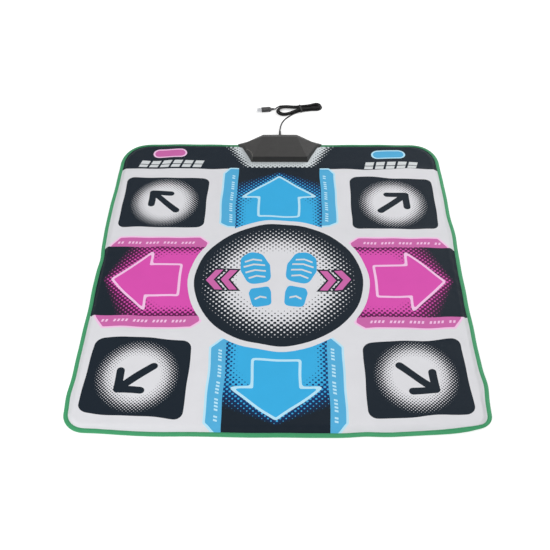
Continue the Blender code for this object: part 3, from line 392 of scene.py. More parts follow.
def glow_pattern(paint):
    """The pale halftone round the controller box on the dark header."""
    front_x, front_y = BOX_PLAN[0]
    near = paint.fade(paint.calc("MAXIMUM", front_y - paint.y, 0.0), 0.034, 0.012)
    beside = (abs(paint.x) - front_x) * 0.913 - (paint.y - front_y) * 0.408
    # The dots reach further out at the mat's edge than in front of the box
    limit = paint.y * 0.125 - 0.0151
    flank = paint.calc("DIVIDE", limit - beside, limit - 0.004, clamp=True)
    paint.ink(paint.halftone(near * flank * 0.90, PANEL_DOTS, 0.14), linear(HEADER_GLOW))


# Each panel's turn from the back, its sideways shift, and how far out its arrow's tip, wings and end lie
PANELS = {
    "up": (0, -0.0010, 0.3705, 0.2830, 0.2110),
    "left": (90, 0.0005, 0.3715, 0.2845, 0.2155),
    "down": (180, 0.0025, 0.3695, 0.2870, 0.2190),
    "right": (270, 0.0010, 0.3700, 0.2840, 0.2110),
}

# Each corner panel's centre, size and turn, because the creased cloth lies a little out of square
CORNERS = {
    "up_left": ((-0.2785, 0.2150), (0.204, 0.187), -0.7),
    "up_right": ((0.2755, 0.2110), (0.203, 0.191), -0.8),
    "down_left": ((-0.2785, -0.3215), (0.202, 0.188), -2.9),
    "down_right": ((0.2742, -0.3205), (0.203, 0.187), 2.8),
}
# How far the cloth pulls a corner panel out of shape: the lean of its left and right sides,
# and the height, place and width of a swell in its back side
CORNER_PULLS = {
    "up_left": (0.0, 0.0, 0.0, 0.0, 0.050),
    "up_right": (0.0, 0.0, 0.0095, -0.057, 0.045),
    "down_left": (0.0, -0.033, 0.0090, 0.010, 0.065),
    "down_right": (0.046, 0.028, 0.0, 0.0, 0.050),
}

INKS = {"ground": cloth("ground_print", GROUND)}
for name, *look in (
    ("navy", NAVY),
    ("header", NAVY, glow_pattern),
    ("disc", NAVY, disc_pattern),
    ("blue_bar", BAR_BLUE),
    ("pink_bar", BAR_PINK),
    ("blue_line", PALE_BLUE),
    ("pink_line", PALE_PINK),
    ("blue_fill", BLUE),
    ("pink_fill", PINK),
    ("art_blue", ART_BLUE),
    ("white", WHITE),
    ("up_panel", BLUE, panel_pattern("up", DEEP_BLUE)),
    ("left_panel", PINK, panel_pattern("left", DEEP_PINK)),
    ("down_panel", BLUE, panel_pattern("down", DEEP_BLUE)),
    ("right_panel", PINK, panel_pattern("right", DEEP_PINK)),
    *((f"{corner}_oval", NAVY, oval_pattern(CORNERS[corner][0])) for corner in CORNERS),
):
    INKS[name] = cloth(f"{name}_ink", *look)


# Plane geometry


def arc(centre, radius, start, end, steps):
    angles = np.radians(np.linspace(start, end, steps + 1))
    return [(centre[0] + radius * math.cos(a), centre[1] + radius * math.sin(a)) for a in angles]


def turned(points, angle, centre=(0.0, 0.0)):
    c, s = math.cos(math.radians(angle)), math.sin(math.radians(angle))
    return [(centre[0] + x * c - y * s, centre[1] + x * s + y * c) for x, y in points]


def mirrored(points):
    return [(-x, y) for x, y in reversed(points)]


def rounded(points, radius, steps=4):
    """Round each corner of a polygon, by less where its sides are short."""
    out = []
    count = len(points)
    for i in range(count):
        here = np.array(points[i])
        before, after = np.array(points[i - 1]) - here, np.array(points[(i + 1) % count]) - here
        reach = np.linalg.norm(before), np.linalg.norm(after)
        before, after = before / reach[0], after / reach[1]
        half = math.acos(max(-1.0, min(1.0, float(before @ after)))) / 2
        if half > 1.5:
            out.append(tuple(here))
            continue
        along = min(radius / math.tan(half), 0.45 * min(reach))
        start, end = here + before * along, here + after * along
        for t in np.linspace(0.0, 1.0, steps + 1):
            out.append(tuple((1 - t) ** 2 * start + 2 * t * (1 - t) * here + t * t * end))
    return out


def inset(points, distance):
    """Move every side of a counterclockwise polygon inwards."""
    corners = np.array(points)
    out = []
    for i in range(len(corners)):
        before = corners[i] - corners[i - 1]
        after = corners[(i + 1) % len(corners)] - corners[i]
        normals = [np.array((-v[1], v[0])) / np.linalg.norm(v) for v in (before, after)]
        shift = (normals[0] + normals[1]) / (1 + normals[0] @ normals[1])
        out.append(tuple(corners[i] + shift * distance))
    return out


def inside(points, polygon):
    """Which points lie in a polygon."""
    x, y = points[:, 0], points[:, 1]
    found = np.zeros(len(points), bool)
    corners = np.array(polygon)
    for a, b in zip(corners, np.roll(corners, -1, axis=0)):
        crosses = (a[1] > y) != (b[1] > y)
        with np.errstate(divide="ignore", invalid="ignore"):
            reach = a[0] + (y - a[1]) * (b[0] - a[0]) / (b[1] - a[1])
        found ^= crosses & (x < reach)
    return found


def distance_to(points, line, closed=True):
    """Each point's distance to a polyline, and how far along it the nearest point is."""
    corners = np.array(line)
    ends = np.roll(corners, -1, axis=0) if closed else corners[1:]
    starts = corners if closed else corners[:-1]
    lengths = np.linalg.norm(ends - starts, axis=1)
    offsets = np.concatenate([[0.0], np.cumsum(lengths)[:-1]])
    best = np.full(len(points), 1e9)
    along = np.zeros(len(points))
    for a, b, length, offset in zip(starts, ends, lengths, offsets):
        if length < 1e-9:
            continue
        t = np.clip(((points - a) @ (b - a)) / length**2, 0, 1)
        away = np.linalg.norm(points - a - t[:, None] * (b - a), axis=1)
        closer = away < best
        best[closer] = away[closer]
        along[closer] = offset + t[closer] * length
    return best, along


def bell(value, middle, width):
    return np.exp(-(((value - middle) / width) ** 2))


def smooth(value):
    value = np.clip(value, 0.0, 1.0)
    return value * value * (3 - 2 * value)


def spread(line, step, fit=math.ceil):
    """A closed outline with points added, so that their spacing comes near step or under it."""
    out = []
    for a, b in zip(line, line[1:] + line[:1]):
        count = max(1, fit(math.dist(a, b) / step))
        out += [(a[0] + (b[0] - a[0]) * i / count, a[1] + (b[1] - a[1]) * i / count) for i in range(count)]
    return out


def solid_outline(spacing=0.006):
    """The outline of the mat's solids."""
    points = []
    for start, (side_x, side_y) in zip((0, 90, 180, 270), ((1, 1), (-1, 1), (-1, -1), (1, -1))):
        radius = BACK_RADIUS if side_y > 0 else FRONT_RADIUS
        centre = (side_x * (MAT_HALF_X - radius), side_y * (MAT_HALF_Y - radius))
        points += arc(centre, radius, start, start + 90, 14)
    return spread(points, spacing, round)


def wavy_outline():
    """The mat's real outline: pulled out of straight here and there, and drawn in at the front corners."""
    dense = solid_outline()
    out = []
    for i, (x, y) in enumerate(dense):
        ahead, behind = dense[(i + 1) % len(dense)], dense[i - 1]
        step = math.dist(ahead, behind)
        normal = ((ahead[1] - behind[1]) / step, (behind[0] - ahead[0]) / step)
        if normal[0] < 0:
            side = 1.0 - 3.0 * bell(y, 0.17, 0.09) + 3.4 * bell(y, 0.018, 0.028)
            side += 1.4 * bell(y, -0.14, 0.05) - 2.6 * bell(y, -0.365, 0.030)
        else:
            side = 0.9 - 3.4 * bell(y, 0.095, 0.050) - 1.5 * bell(y, 0.26, 0.04)
            side += 0.8 * bell(y, -0.12, 0.06) - 5.0 * bell(y, -0.337, 0.030)
        if normal[1] < 0:
            end = 4.0 * bell(x, -0.370, 0.120) + 10.2 * bell(x, 0.390, 0.130) + 0.8 * math.sin(x * 31)
            end += 2.8 * bell(x, 0.165, 0.030) - 1.5 * bell(x, 0.060, 0.050) - 4.0 / (1 + (x / 0.33) ** 8)
            end += 7.0 * bell(x, 0.392, 0.040)
        else:
            end = 0.5 * math.sin(x * 27) - 2.2 * bell(x, -0.22, 0.10) - 1.6 * bell(x, 0.25, 0.05)
            # The box holds the edge where it meets it
            end *= min(1.0, max(0.0, (abs(x) - 0.115) / 0.05))
        corner = (2 * normal[0] * normal[1]) ** 2
        end -= 6.5 * corner if normal[1] > 0 else 0.0
        ripple = 0.5 * math.sin(x * 71 + 1.3) * math.sin(y * 63 + 0.4)
        shift = (normal[0] ** 2 * side + normal[1] ** 2 * end + ripple) / 1000
        out.append((x - normal[0] * shift, y - normal[1] * shift))
    return out


OUTLINE = wavy_outline()


# The print


def capsule_between(start, end, width, steps=7):
    """A stroke with round ends."""
    way = math.degrees(math.atan2(end[1] - start[1], end[0] - start[0]))
    return arc(end, width / 2, way - 90, way + 90, steps) + arc(start, width / 2, way + 90, way + 270, steps)


def slanted_block(centre, width, height, slant):
    """A parallelogram that leans to its right."""
    x, y = centre
    lean = slant * height / 2
    return [
        (x - width / 2 - lean, y - height / 2),
        (x + width / 2 - lean, y - height / 2),
        (x + width / 2 + lean, y + height / 2),
        (x - width / 2 + lean, y + height / 2),
    ]


# The width of the pale line round the panels and round the arrows, and the lean of the small blocks
PANEL_LINE, ARROW_LINE = 0.0045, 0.0057
BLOCK_LEAN = 0.30


def hue_of(way):
    return "blue" if way in ("up", "down") else "pink"


def place_panel(points, way):
    """Turn points written as (across, outward from the disc's centre) to where a panel lies."""
    angle, shift = PANELS[way][:2]
    return turned([(u + shift, v) for u, v in points], angle, (0.0, DISC_Y))


# Each panel's bars: their reach from its middle line, their start beside the dark part, and their end
PANEL_SIDES = {
    "up": (0.1415, 0.1030, 0.4045),
    "left": (0.1425, 0.1070, 0.4300),
    "down": (0.1375, 0.1030, 0.4300),
    "right": (0.1415, 0.1070, 0.4300),
}
# The corners cut off each bar's outer and inner end, from the bar's outer side and from the disc's centre
OUTER_CUTS = {
    "up": [(0.0000, 0.3800), (-0.0150, 0.4010)],
    "left": [(0.0000, 0.3690), (-0.0275, 0.3880), (-0.0685, 0.4040)],
    "down": [(0.0000, 0.3765), (-0.0265, 0.4035)],
}
INNER_CUTS = {
    "up": [(-0.0200, 0.1765), (0.0000, 0.1900)],
    "left": [(-0.0190, 0.1600), (0.0000, 0.1820)],
    "down": [(-0.0260, 0.1620), (0.0000, 0.1880)],
}
OUTER_CUTS["right"], INNER_CUTS["right"] = OUTER_CUTS["left"], INNER_CUTS["left"]
# Where the bars' blocks start, how far apart they are, and how far their row lies beside the dark part
BLOCKS_START, BLOCKS_STEP = 0.197, 0.0082
BLOCKS_BESIDE = {"blue": 0.0115, "pink": 0.0140}


def panel_shapes(way):
    hue = hue_of(way)
    bar_half, centre_half, far = PANEL_SIDES[way]
    # The bars reach in to the arc of the ring round the disc
    right = [(0.060, 0.1700)] + [(bar_half + u, v) for u, v in INNER_CUTS[way] + OUTER_CUTS[way]]
    left = mirrored(right)
    outline = left[-1:] + right + left[:-1]
    shapes = [
        (f"{hue}_line", place_panel(rounded(outline, 0.006, 2), way)),
        (f"{hue}_bar", place_panel(rounded(inset(outline, PANEL_LINE), 0.005, 2), way)),
    ]
    row = centre_half + BLOCKS_BESIDE[hue]
    for side in (-1, 1):
        for i in range(22):
            # Every fifth block is left out
            if i % 5 == 4:
                continue
            block = slanted_block((side * (BLOCKS_START + BLOCKS_STEP * i), 0.0), 0.0046, 0.0072, BLOCK_LEAN)
            block = [(side * (row - y), side * x) for x, y in block]
            shapes.append((f"{hue}_line", place_panel(block, way)))
    turn = math.degrees(math.asin(centre_half / ARC_RADIUS))
    inner = arc((0.0, 0.0), ARC_RADIUS, 90 - turn, 90 + turn, 16)
    end = [(-centre_half, far), (centre_half, far)]
    if hue == "pink":
        cut = [(centre_half - 0.032, far), (centre_half, 0.396)]
        end = mirrored(cut) + cut
    shapes.append((f"{way}_panel", place_panel((inner + end)[::-1], way)))
    return shapes


def arrow_outline(tip, wing, end):
    head, shaft = 0.0985, 0.0510
    right = [(shaft, end), (shaft, wing), (head, wing)]
    return right + [(0.0, tip)] + mirrored(right)


def arrow_shapes(way):
    hue = hue_of(way)
    outline = arrow_outline(*PANELS[way][2:])
    return [
        (f"{hue}_line", place_panel(rounded(outline, 0.0075), way)),
        (f"{hue}_fill", place_panel(rounded(inset(outline, ARROW_LINE), 0.0038), way)),
    ]


def rounded_box(centre, width, height, radius, steps=6):
    x, y = centre
    w, h = width / 2, height / 2
    points = []
    for sx, sy, start in ((1, 1, 0), (-1, 1, 90), (-1, -1, 180), (1, -1, 270)):
        points += arc((x + sx * (w - radius), y + sy * (h - radius)), radius, start, start + 90, steps)
    return points


def corner_shapes(name):
    """A dark panel with a pale oval and a thick arrow that points to the mat's corner."""
    (x, y), (width, height), tilt = CORNERS[name]
    side_x, side_y = (1 if x > 0 else -1), (1 if y > 0 else -1)
    left_lean, right_lean, swell, place, reach = CORNER_PULLS[name]
    panel = []
    for u, v in spread(rounded_box((0.0, 0.0), width, height, 0.018), 0.010):
        lean = left_lean + (right_lean - left_lean) * (u / width + 0.5)
        panel.append((u + lean * v, v + swell * bell(u, place, reach) * max(0.0, 2 * v / height)))
    shapes = [(f"{name}_oval", turned(panel, tilt, (x, y)))]
    shaft, wings = (-0.030, 0.030), (-0.012, 0.033)
    for start, end in (
        ((shaft[0], shaft[0]), (shaft[1], shaft[1])),
        (wings, (wings[1], wings[1])),
        (wings[::-1], (wings[1], wings[1])),
    ):
        ends = [(side_x * u, side_y * v) for u, v in (start, end)]
        shapes.append(("navy", turned(capsule_between(*ends, 0.0165), tilt, (x, y))))
    return shapes


def header_shapes():
    waves = [(x, 0.3450 + 0.0012 * math.sin(x * 23 + 0.6)) for x in np.linspace(-0.43, 0.43, 44)]
    shapes = [("header", waves + [(0.43, 0.48), (-0.43, 0.48)])]
    for centre, hue, blocks, (row_x, row_y) in (
        ((-0.2850, 0.4105), "pink", 6, (-0.2765, 0.3660)),
        ((0.2810, 0.4070), "blue", 5, (0.2835, 0.3612)),
    ):
        shapes.append((f"{hue}_line", rounded_box(centre, 0.088, 0.036, 0.0179, 10)))
        shapes.append((f"{hue}_bar", rounded_box(centre, 0.079, 0.027, 0.0134, 10)))
        # A row of leaning blocks in front of each key, cut across like a speed line
        for i in range(blocks):
            x = row_x + (i - (blocks - 1) / 2) * 0.0275
            for y, height in ((row_y + 0.0067, 0.0140), (row_y - 0.0085, 0.0110)):
                shapes.append(("white", slanted_block((x + 0.26 * (y - row_y), y), 0.0215, height, 0.26)))
    return shapes


def sole(side):
    """One shoe print: a fore part and a heel, with tread lines left open across them."""
    fore = [(-0.030, -0.010), (0.022, -0.014), (0.033, 0.030), (0.026, 0.072), (0.004, 0.090)]
    fore += [(-0.022, 0.078), (-0.035, 0.040)]
    heel = [(-0.021, -0.082), (0.021, -0.082), (0.024, -0.040), (0.018, -0.026)]
    heel += [(-0.022, -0.024), (-0.025, -0.044)]
    parts = [("art_blue", rounded(fore, 0.020, 5)), ("art_blue", rounded(heel, 0.012, 5))]
    for y, half in ((0.006, 0.019), (0.024, 0.023), (0.042, 0.024), (0.058, 0.019), (-0.058, 0.013)):
        tread = [(-half, y - 0.003), (0.0, y + 0.003), (half, y - 0.003)]
        band = tread + [(x, z + 0.0050) for x, z in reversed(tread)]
        parts.append(("white", band))
    out = []
    for ink, points in parts:
        if side < 0:
            points = mirrored(points)
        out.append((ink, turned(points, -9 * side, (side * 0.047, -0.050))))
    return out


def disc_shapes():
    """The disc that a player stands on, with two shoe prints and chevrons at both sides."""
    shapes = [("disc", arc((0.0, DISC_Y), DISC_RADIUS, 0, 355, 71))]
    for side in (-1, 1):
        for reach in (0.108, 0.140):
            chevron = [(reach, -0.030), (reach + 0.020, 0.0), (reach, 0.030)]
            band = chevron + [(u - 0.017, v) for u, v in reversed(chevron)]
            edge = [(side * u, DISC_Y + v) for u, v in inset(band, -0.0042)]
            core = [(side * u, DISC_Y + v) for u, v in band]
            shapes += [("navy", edge), ("pink_bar", core)]
        shapes += sole(side)
    return shapes


def print_shapes():
    """Every printed shape in painting order, as an ink's name and an outline."""
    shapes = header_shapes()
    for way in PANELS:
        shapes += panel_shapes(way)
    shapes.append(("ground", arc((0.0, DISC_Y), ARC_RADIUS, 0, 355, 71)))
    for way in PANELS:
        shapes += arrow_shapes(way)
    for name in CORNERS:
        shapes += corner_shapes(name)
    return shapes + disc_shapes()


def stretched(points):
    """Where the print lies on the real mat: drawn to the front in the middle, and a little wavy."""
    out = []
    for x, y in points:
        pull = 0.0068 * smooth(-y / 0.44) * max(0.0, 1 - (x / 0.40) ** 2)
        across = 0.0011 * math.sin(31 * y + 1.2) * math.sin(17 * x + 0.5)
        across += 0.0005 * math.sin(67 * y + 23 * x)
        along = 0.0019 * math.sin(45 * x + 0.4) * math.sin(15 * y + 2.0)
        along += 0.0006 * math.sin(83 * x - 19 * y)
        out.append((x + across, y + along - pull))
    return out


SHAPES = [(ink, stretched(spread(outline, 0.0065))) for ink, outline in print_shapes()]


# The sheets' shape

CLOTH_STEP = 0.0065
TRIM = 0.0015
EDGE_TOP = 0.0028
# How far back the cuts for the box reach, past the mat's edge
NOTCH_END_Y = 0.480
# Where the solids' padding ends, and the cloth over it has come up to full height
FULL_REACH = 0.0205
SHELL_CLEARANCE = 0.0006

# The cloth that goes down with each switch zone: its left, right, front and back, and its slope's width
ZONES = {
    "up_zone": (-0.100, 0.100, 0.1465, 0.3380, 0.017),
    "down_zone": (-0.100, 0.100, -0.4320, -0.2535, 0.017),
    "left_zone": (-0.385, -0.200, -0.1535, 0.0465, 0.017),
    "right_zone": (0.200, 0.385, -0.1535, 0.0465, 0.017),
    "up_left_zone": (-0.377, -0.176, 0.1230, 0.3090, 0.017),
    "up_right_zone": (0.176, 0.377, 0.1230, 0.3090, 0.017),
    "down_left_zone": (-0.377, -0.176, -0.4146, -0.2286, 0.017),
    "down_right_zone": (0.176, 0.377, -0.4146, -0.2286, 0.017),
    "select_key": (-0.319, -0.247, 0.3930, 0.4250, 0.008),
    "start_key": (0.247, 0.319, 0.3930, 0.4250, 0.008),
}


def box_side_x(y, grow):
    """The half width of the box's plan on its slanted front sides, with the plan grown by grow."""
    (front_x, front_y), (corner_x, corner_y) = BOX_PLAN[:2]
    slope = (corner_x - front_x) / (corner_y - front_y)
    return front_x + slope * (y - front_y) + grow * math.hypot(1.0, slope)


def mouth_notch():
    """The cut in the printed cover: its edge lies inside the box's mouth, and clears the box behind that."""
    tuck = -0.012
    front_y = BOX_PLAN[0][1] - tuck
    right = [
        (box_side_x(front_y, tuck), front_y),
        (box_side_x(MOUTH_END_Y, tuck), MOUTH_END_Y),
        (box_side_x(MOUTH_END_Y, SHELL_CLEARANCE), MOUTH_END_Y),
        (box_side_x(NOTCH_END_Y, SHELL_CLEARANCE), NOTCH_END_Y),
    ]
    return right + mirrored(right)


def box_notch():
    """The cut in the underside, which follows the box's plan."""
    right = [(box_side_x(y, SHELL_CLEARANCE), y) for y in (BOX_PLAN[0][1] - SHELL_CLEARANCE, NOTCH_END_Y)]
    return right + mirrored(right)


CAD_OUTLINE = solid_outline(0.012)


def edge_reach(points):
    """How far points lie inside the outline, and where the slope beside the binding starts and ends."""
    inner, _ = distance_to(points, OUTLINE)
    cad, _ = distance_to(points, CAD_OUTLINE)
    cad = np.where(inside(points, CAD_OUTLINE), cad, -cad)
    end = FULL_REACH - np.clip(cad - inner, -0.004, 0.011)
    start = np.minimum(0.009, end - 0.0105)
    return inner, start, end


# Long low creases left from folding and rolling, as start, end, height and half width,
# where each height is still multiplied by CREASE_SCALE
CREASE_SCALE = 1.3
CREASES = [
    ((-0.152, 0.340), (-0.140, 0.190), 0.0011, 0.010),
    ((0.150, 0.345), (0.158, 0.200), 0.0012, 0.011),
    ((-0.380, 0.105), (-0.190, 0.112), 0.0016, 0.012),
    ((0.180, 0.098), (0.395, 0.112), 0.0018, 0.013),
    ((-0.370, -0.208), (-0.150, -0.212), 0.0012, 0.011),
    ((0.150, -0.205), (0.390, -0.216), 0.0016, 0.012),
    ((-0.150, -0.250), (-0.152, -0.430), 0.0011, 0.011),
    ((0.152, -0.260), (0.160, -0.430), 0.0012, 0.011),
    ((0.290, 0.360), (0.405, 0.330), 0.0018, 0.014),
    ((-0.395, 0.332), (-0.280, 0.345), 0.0016, 0.012),
    ((0.080, 0.350), (0.340, 0.385), 0.0008, 0.016),
    ((-0.330, 0.392), (-0.120, 0.350), 0.0007, 0.016),
]


def rise(points):
    """The soft waves and creases of a mat that was folded, upward only."""
    x, y = points[:, 0], points[:, 1]
    waves = np.zeros(len(points))
    for step_x, step_y, phase, size in (
        (9.0, 4.0, 0.3, 0.50),
        (-5.0, 12.0, 1.7, 0.45),
        (16.0, -7.0, 2.9, 0.28),
        (6.0, 23.0, 4.2, 0.22),
        (27.0, 15.0, 0.9, 0.13),
        (-21.0, 31.0, 5.1, 0.11),
        (44.0, -18.0, 2.2, 0.06),
        (13.0, 47.0, 3.3, 0.06),
    ):
        waves += size * np.sin(step_x * x + step_y * y + phase)
    height = 0.0009 * np.maximum(waves + 0.8, 0.0)
    for start, end, size, width in CREASES:
        away, along = distance_to(points, [start, end], closed=False)
        span = math.dist(start, end)
        ends = smooth(np.minimum(along, span - along) / 0.05)
        height += CREASE_SCALE * size * ends * bell(away, 0.0, width)
    return height


def near_box(points):
    """0 at the controller box and 1 from a few centimetres off, because the box holds the cloth flat."""
    away, _ = distance_to(points, BOX_PLAN)
    away = np.where(inside(points, BOX_PLAN), 0.0, away)
    return smooth((away - 0.003) / 0.045)


def cover_height(points):
    """The printed cover's height over the floor."""
    inner, start, end = edge_reach(points)
    slope = smooth((inner - start) / (end - start))
    pucker = 0.0004 * np.sin(points[:, 0] * 210 + 0.6) * np.sin(points[:, 1] * 190 + 1.1)
    beside = bell(inner, 0.016, 0.008)
    still = near_box(points)
    waves = slope * rise(points) + beside * (pucker + 0.0004)
    return EDGE_TOP + slope * (COVER_TOP - EDGE_TOP) + still * waves


def under_height(points):
    """The underside's height: just off the floor, and raised into the binding at its edge."""
    inner, _ = distance_to(points, OUTLINE)
    return 0.0004 + 0.0010 * (1 - smooth((inner - 0.006) / 0.008))


def cut_sheet(rim, notch, lines, loose, near=0.0020):
    """A flat sheet inside rim and outside notch, as points and triangles that keep to lines."""
    verts, edges = [], []
    for line, closed in [(rim, True), (notch, True)] + lines:
        line = spread(line, CLOTH_STEP) if closed else line
        first = len(verts)
        verts += line
        edges += [(first + i, first + i + 1) for i in range(len(line) - 1)]
        if closed:
            edges.append((first + len(line) - 1, first))
    fixed = np.array(verts)
    loose = loose[clear_of(loose, fixed, near)]
    everything = [Vector(p) for p in verts] + [Vector(p) for p in loose]
    points, _, faces, *_ = delaunay_2d_cdt(everything, edges, [], 0, 1e-6)
    points = np.array([tuple(p) for p in points])
    faces = np.array([f for f in faces if len(f) == 3])
    middles = points[faces].mean(axis=1)
    faces = faces[inside(middles, rim) & ~inside(middles, notch)]
    area = signed_areas(points, faces)
    faces = np.where(area[:, None] < 0, faces[:, ::-1], faces)
    return points, faces[np.abs(area) > 0.5e-12]


def signed_areas(points, faces):
    a, b, c = (points[faces[:, i]] for i in range(3))
    return 0.5 * ((b[:, 0] - a[:, 0]) * (c[:, 1] - a[:, 1]) - (b[:, 1] - a[:, 1]) * (c[:, 0] - a[:, 0]))


def clear_of(points, fixed, near):
    """Which points have no fixed point nearer than near, found on a grid of cells of that size."""
    taken = set()
    for x, y in np.floor(fixed / near).astype(int):
        taken.update((x + i, y + j) for i in (-1, 0, 1) for j in (-1, 0, 1))
    cells = np.floor(points / near).astype(int)
    return np.array([(x, y) not in taken for x, y in cells])


def loose_points():
    """A staggered grid over the mat, and rows that run beside its edge."""
    rows = []
    for j, y in enumerate(np.arange(-MAT_HALF_Y, MAT_HALF_Y, CLOTH_STEP * 0.87)):
        shift = 0.5 * CLOTH_STEP * (j % 2)
        rows += [(x + shift, y) for x in np.arange(-MAT_HALF_X - 0.005, MAT_HALF_X + 0.005, CLOTH_STEP)]
    grid = np.array(rows)
    away, _ = distance_to(grid, OUTLINE)
    grid = grid[inside(grid, OUTLINE) & (away > 0.0265)]
    beside = [inset(OUTLINE, reach) for reach in (0.0045, 0.0075, 0.0105, 0.0135, 0.0165, 0.0195, 0.0235)]
    return np.vstack([grid] + beside)


# The printed cover, in one piece with a slope and a level part over each switch zone


def ink_of(middles):
    """The printed shape that shows at each point, as a number in the list of inks."""
    names = list(INKS)
    found = np.zeros(len(middles), int)
    for ink, outline in SHAPES:
        corners = np.array(outline)
        low, high = corners.min(axis=0), corners.max(axis=0)
        near = np.flatnonzero(((middles >= low) & (middles <= high)).all(axis=1))
        found[near[inside(middles[near], outline)]] = names.index(ink)
    return found


def zone_outlines():
    """Each zone's outer and level rectangles, and the mitred parts between them."""
    out = {}
    for body, (left, right, front, back, slope) in ZONES.items():
        outer = [(left, front), (right, front), (right, back), (left, back)]
        level = inset(outer, slope)
        sides = [[outer[i], outer[(i + 1) % 4], level[(i + 1) % 4], level[i]] for i in range(4)]
        out[body] = outer, level, sides
    return out


def cover_piece(name, points, faces, heights, inks):
    """A part of the printed cover, with the inks that it shows."""
    used, index = np.unique(faces, return_inverse=True)
    faces = index.reshape(-1, 3)
    mesh = bpy.data.meshes.new(name)
    mesh.from_pydata(np.column_stack([points[used], heights[0][used]]).tolist(), [], faces.tolist())
    names = list(INKS)
    present, order = np.unique(inks, return_inverse=True)
    for ink in present:
        mesh.materials.append(INKS[names[ink]])
    mesh.polygons.foreach_set("material_index", order.astype(np.int32))
    mesh.shade_smooth()
    mesh.normals_split_custom_set_from_vertices(heights[1][used].tolist())
    return add_object(name, mesh)


def surface(points, height):
    """The height at each point and the surface's direction there."""
    step = 0.0012
    here = height(points)
    dx = (height(points + (step, 0.0)) - height(points - (step, 0.0))) / (2 * step)
    dy = (height(points + (0.0, step)) - height(points - (0.0, step))) / (2 * step)
    directions = np.column_stack([-dx, -dy, np.ones(len(points))])
    return here, directions / np.linalg.norm(directions, axis=1)[:, None]


def flat_area(points, faces):
    return float(np.abs(signed_areas(points, faces)).sum())


def make_cover():
    outlines = zone_outlines()
    lines = [(outline, True) for _, outline in SHAPES]
    for outer, level, _ in outlines.values():
        lines += [(outer, True), (level, True)]
        for a, b in zip(outer, level):
            lines.append(([a, tuple((np.array(a) + np.array(b)) / 2), b], False))
    rim = inset(OUTLINE, TRIM)
    points, faces = cut_sheet(rim, mouth_notch(), lines, loose_points())
    middles = points[faces].mean(axis=1)
    inks = ink_of(middles)
    shape = surface(points, cover_height)
    rest = np.ones(len(faces), bool)

    def piece(name, chosen):
        return cover_piece(name, points, faces[chosen], shape, inks[chosen])

    for body, (outer, level, sides) in outlines.items():
        inner = inside(middles, level)
        top = piece(f"{body}_cover", inner)
        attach(top, body)
        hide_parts(body.replace("_zone", "").replace("_key", "") + "_cover_patch")
        rest &= ~inner
        for side, word in zip(sides, ("front", "right", "back", "left")):
            part = inside(middles, side) & rest
            strip = piece(f"{body}_slope_{word}", part)
            start = (np.array(side[0]) + side[1]) / 2
            end = (np.array(side[2]) + side[3]) / 2
            # The end is moved to lie straight across the slope from the start
            if word in ("front", "back"):
                end[0] = start[0]
            else:
                end[1] = start[1]
            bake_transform(strip)
            rest &= ~part
    root = piece("printed_cover", rest)
    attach(root, "mat")
    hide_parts("top_cover")
    area = flat_area(points, faces[rest])


# Cord, in one length from the strain relief through the folded hank to the plug

CORD_EXIT = (0.0, 0.5104, 0.0080)
HANK_CENTRE, HANK_ANGLE, HANK_SPAN = (0.056, 0.6245), 13.0, 0.092
HANK_RUNS, HANK_CLIMB_RUN = 10, 5
LEAD_ROUTE = [
    (0.0004, 0.5245, 0.0056),
    (0.0010, 0.5345, 0.0032),
    (0.0022, 0.5450, 0.0020),
    (0.0050, 0.5565, 0.00185),
    (0.0098, 0.5690, 0.00185),
    (0.0168, 0.5805, 0.00185),
    (0.0270, 0.5920, 0.00185),
]
TAIL_ROUTE = [
    (-0.0030, 0.6325, 0.0057),
    (-0.0100, 0.6275, 0.0047),
]
PLUG_PLACE, PLUG_ANGLE = (-0.0180, 0.6225), 187.0
PLUG_MIDDLE = 0.0040
# How much further apart and higher each run of the hank lies than the one inside or under it
RUN_SPACING, LAYER_HEIGHT = 0.0042, 0.0041


def hank_half_width(along, run):
    """How far a run lies from the hank's middle line, which is more in the left loop and the right fold."""
    loop = 0.0115 * math.sin(math.pi * along / HANK_SPAN) ** 2
    if along > 0.0:
        loop = 0.0030 * smooth(1.0 - (HANK_SPAN / 2 - along) / 0.020)
    return abs(run - HANK_CLIMB_RUN) * RUN_SPACING / 2 + 0.0015 + loop


def hank_height(run, along, progress):
    layer = 0.0 if run < HANK_CLIMB_RUN else 1.0
    if run == HANK_CLIMB_RUN:
        layer = smooth(progress)
    return CORD_DIAMETER / 2 + 0.0001 + layer * LAYER_HEIGHT + 0.0009 * bell(along, 0.0, 0.014)


def hank_path(steps):
    """The folded cord's centre line: runs to the right in front and to the left behind, joined by folds."""
    half = HANK_SPAN / 2
    points = []
    for run in range(HANK_RUNS):
        side = -1 if run % 2 == 0 else 1
        start, end = (side * half, -side * half)
        if run == 0:
            start = -HANK_SPAN / 6
        count = max(2, round(steps * abs(end - start) / HANK_SPAN))
        for i in range(count + 1):
            along = start + (end - start) * i / count
            across = side * hank_half_width(along, run)
            points.append((along, across, hank_height(run, along, i / count)))
        if run == HANK_RUNS - 1:
            break
        fold_start, fold_end = hank_half_width(end, run), hank_half_width(end, run + 1)
        for i in range(1, steps):
            turn = math.pi * i / steps
            radius = fold_start + (fold_end - fold_start) * i / steps
            z = hank_height(run + 1 if run > HANK_CLIMB_RUN else run, end, 1.0)
            points.append((end - side * radius * math.sin(turn), side * radius * math.cos(turn), z))
    return [(*turned([p[:2]], HANK_ANGLE)[0], p[2]) for p in points]


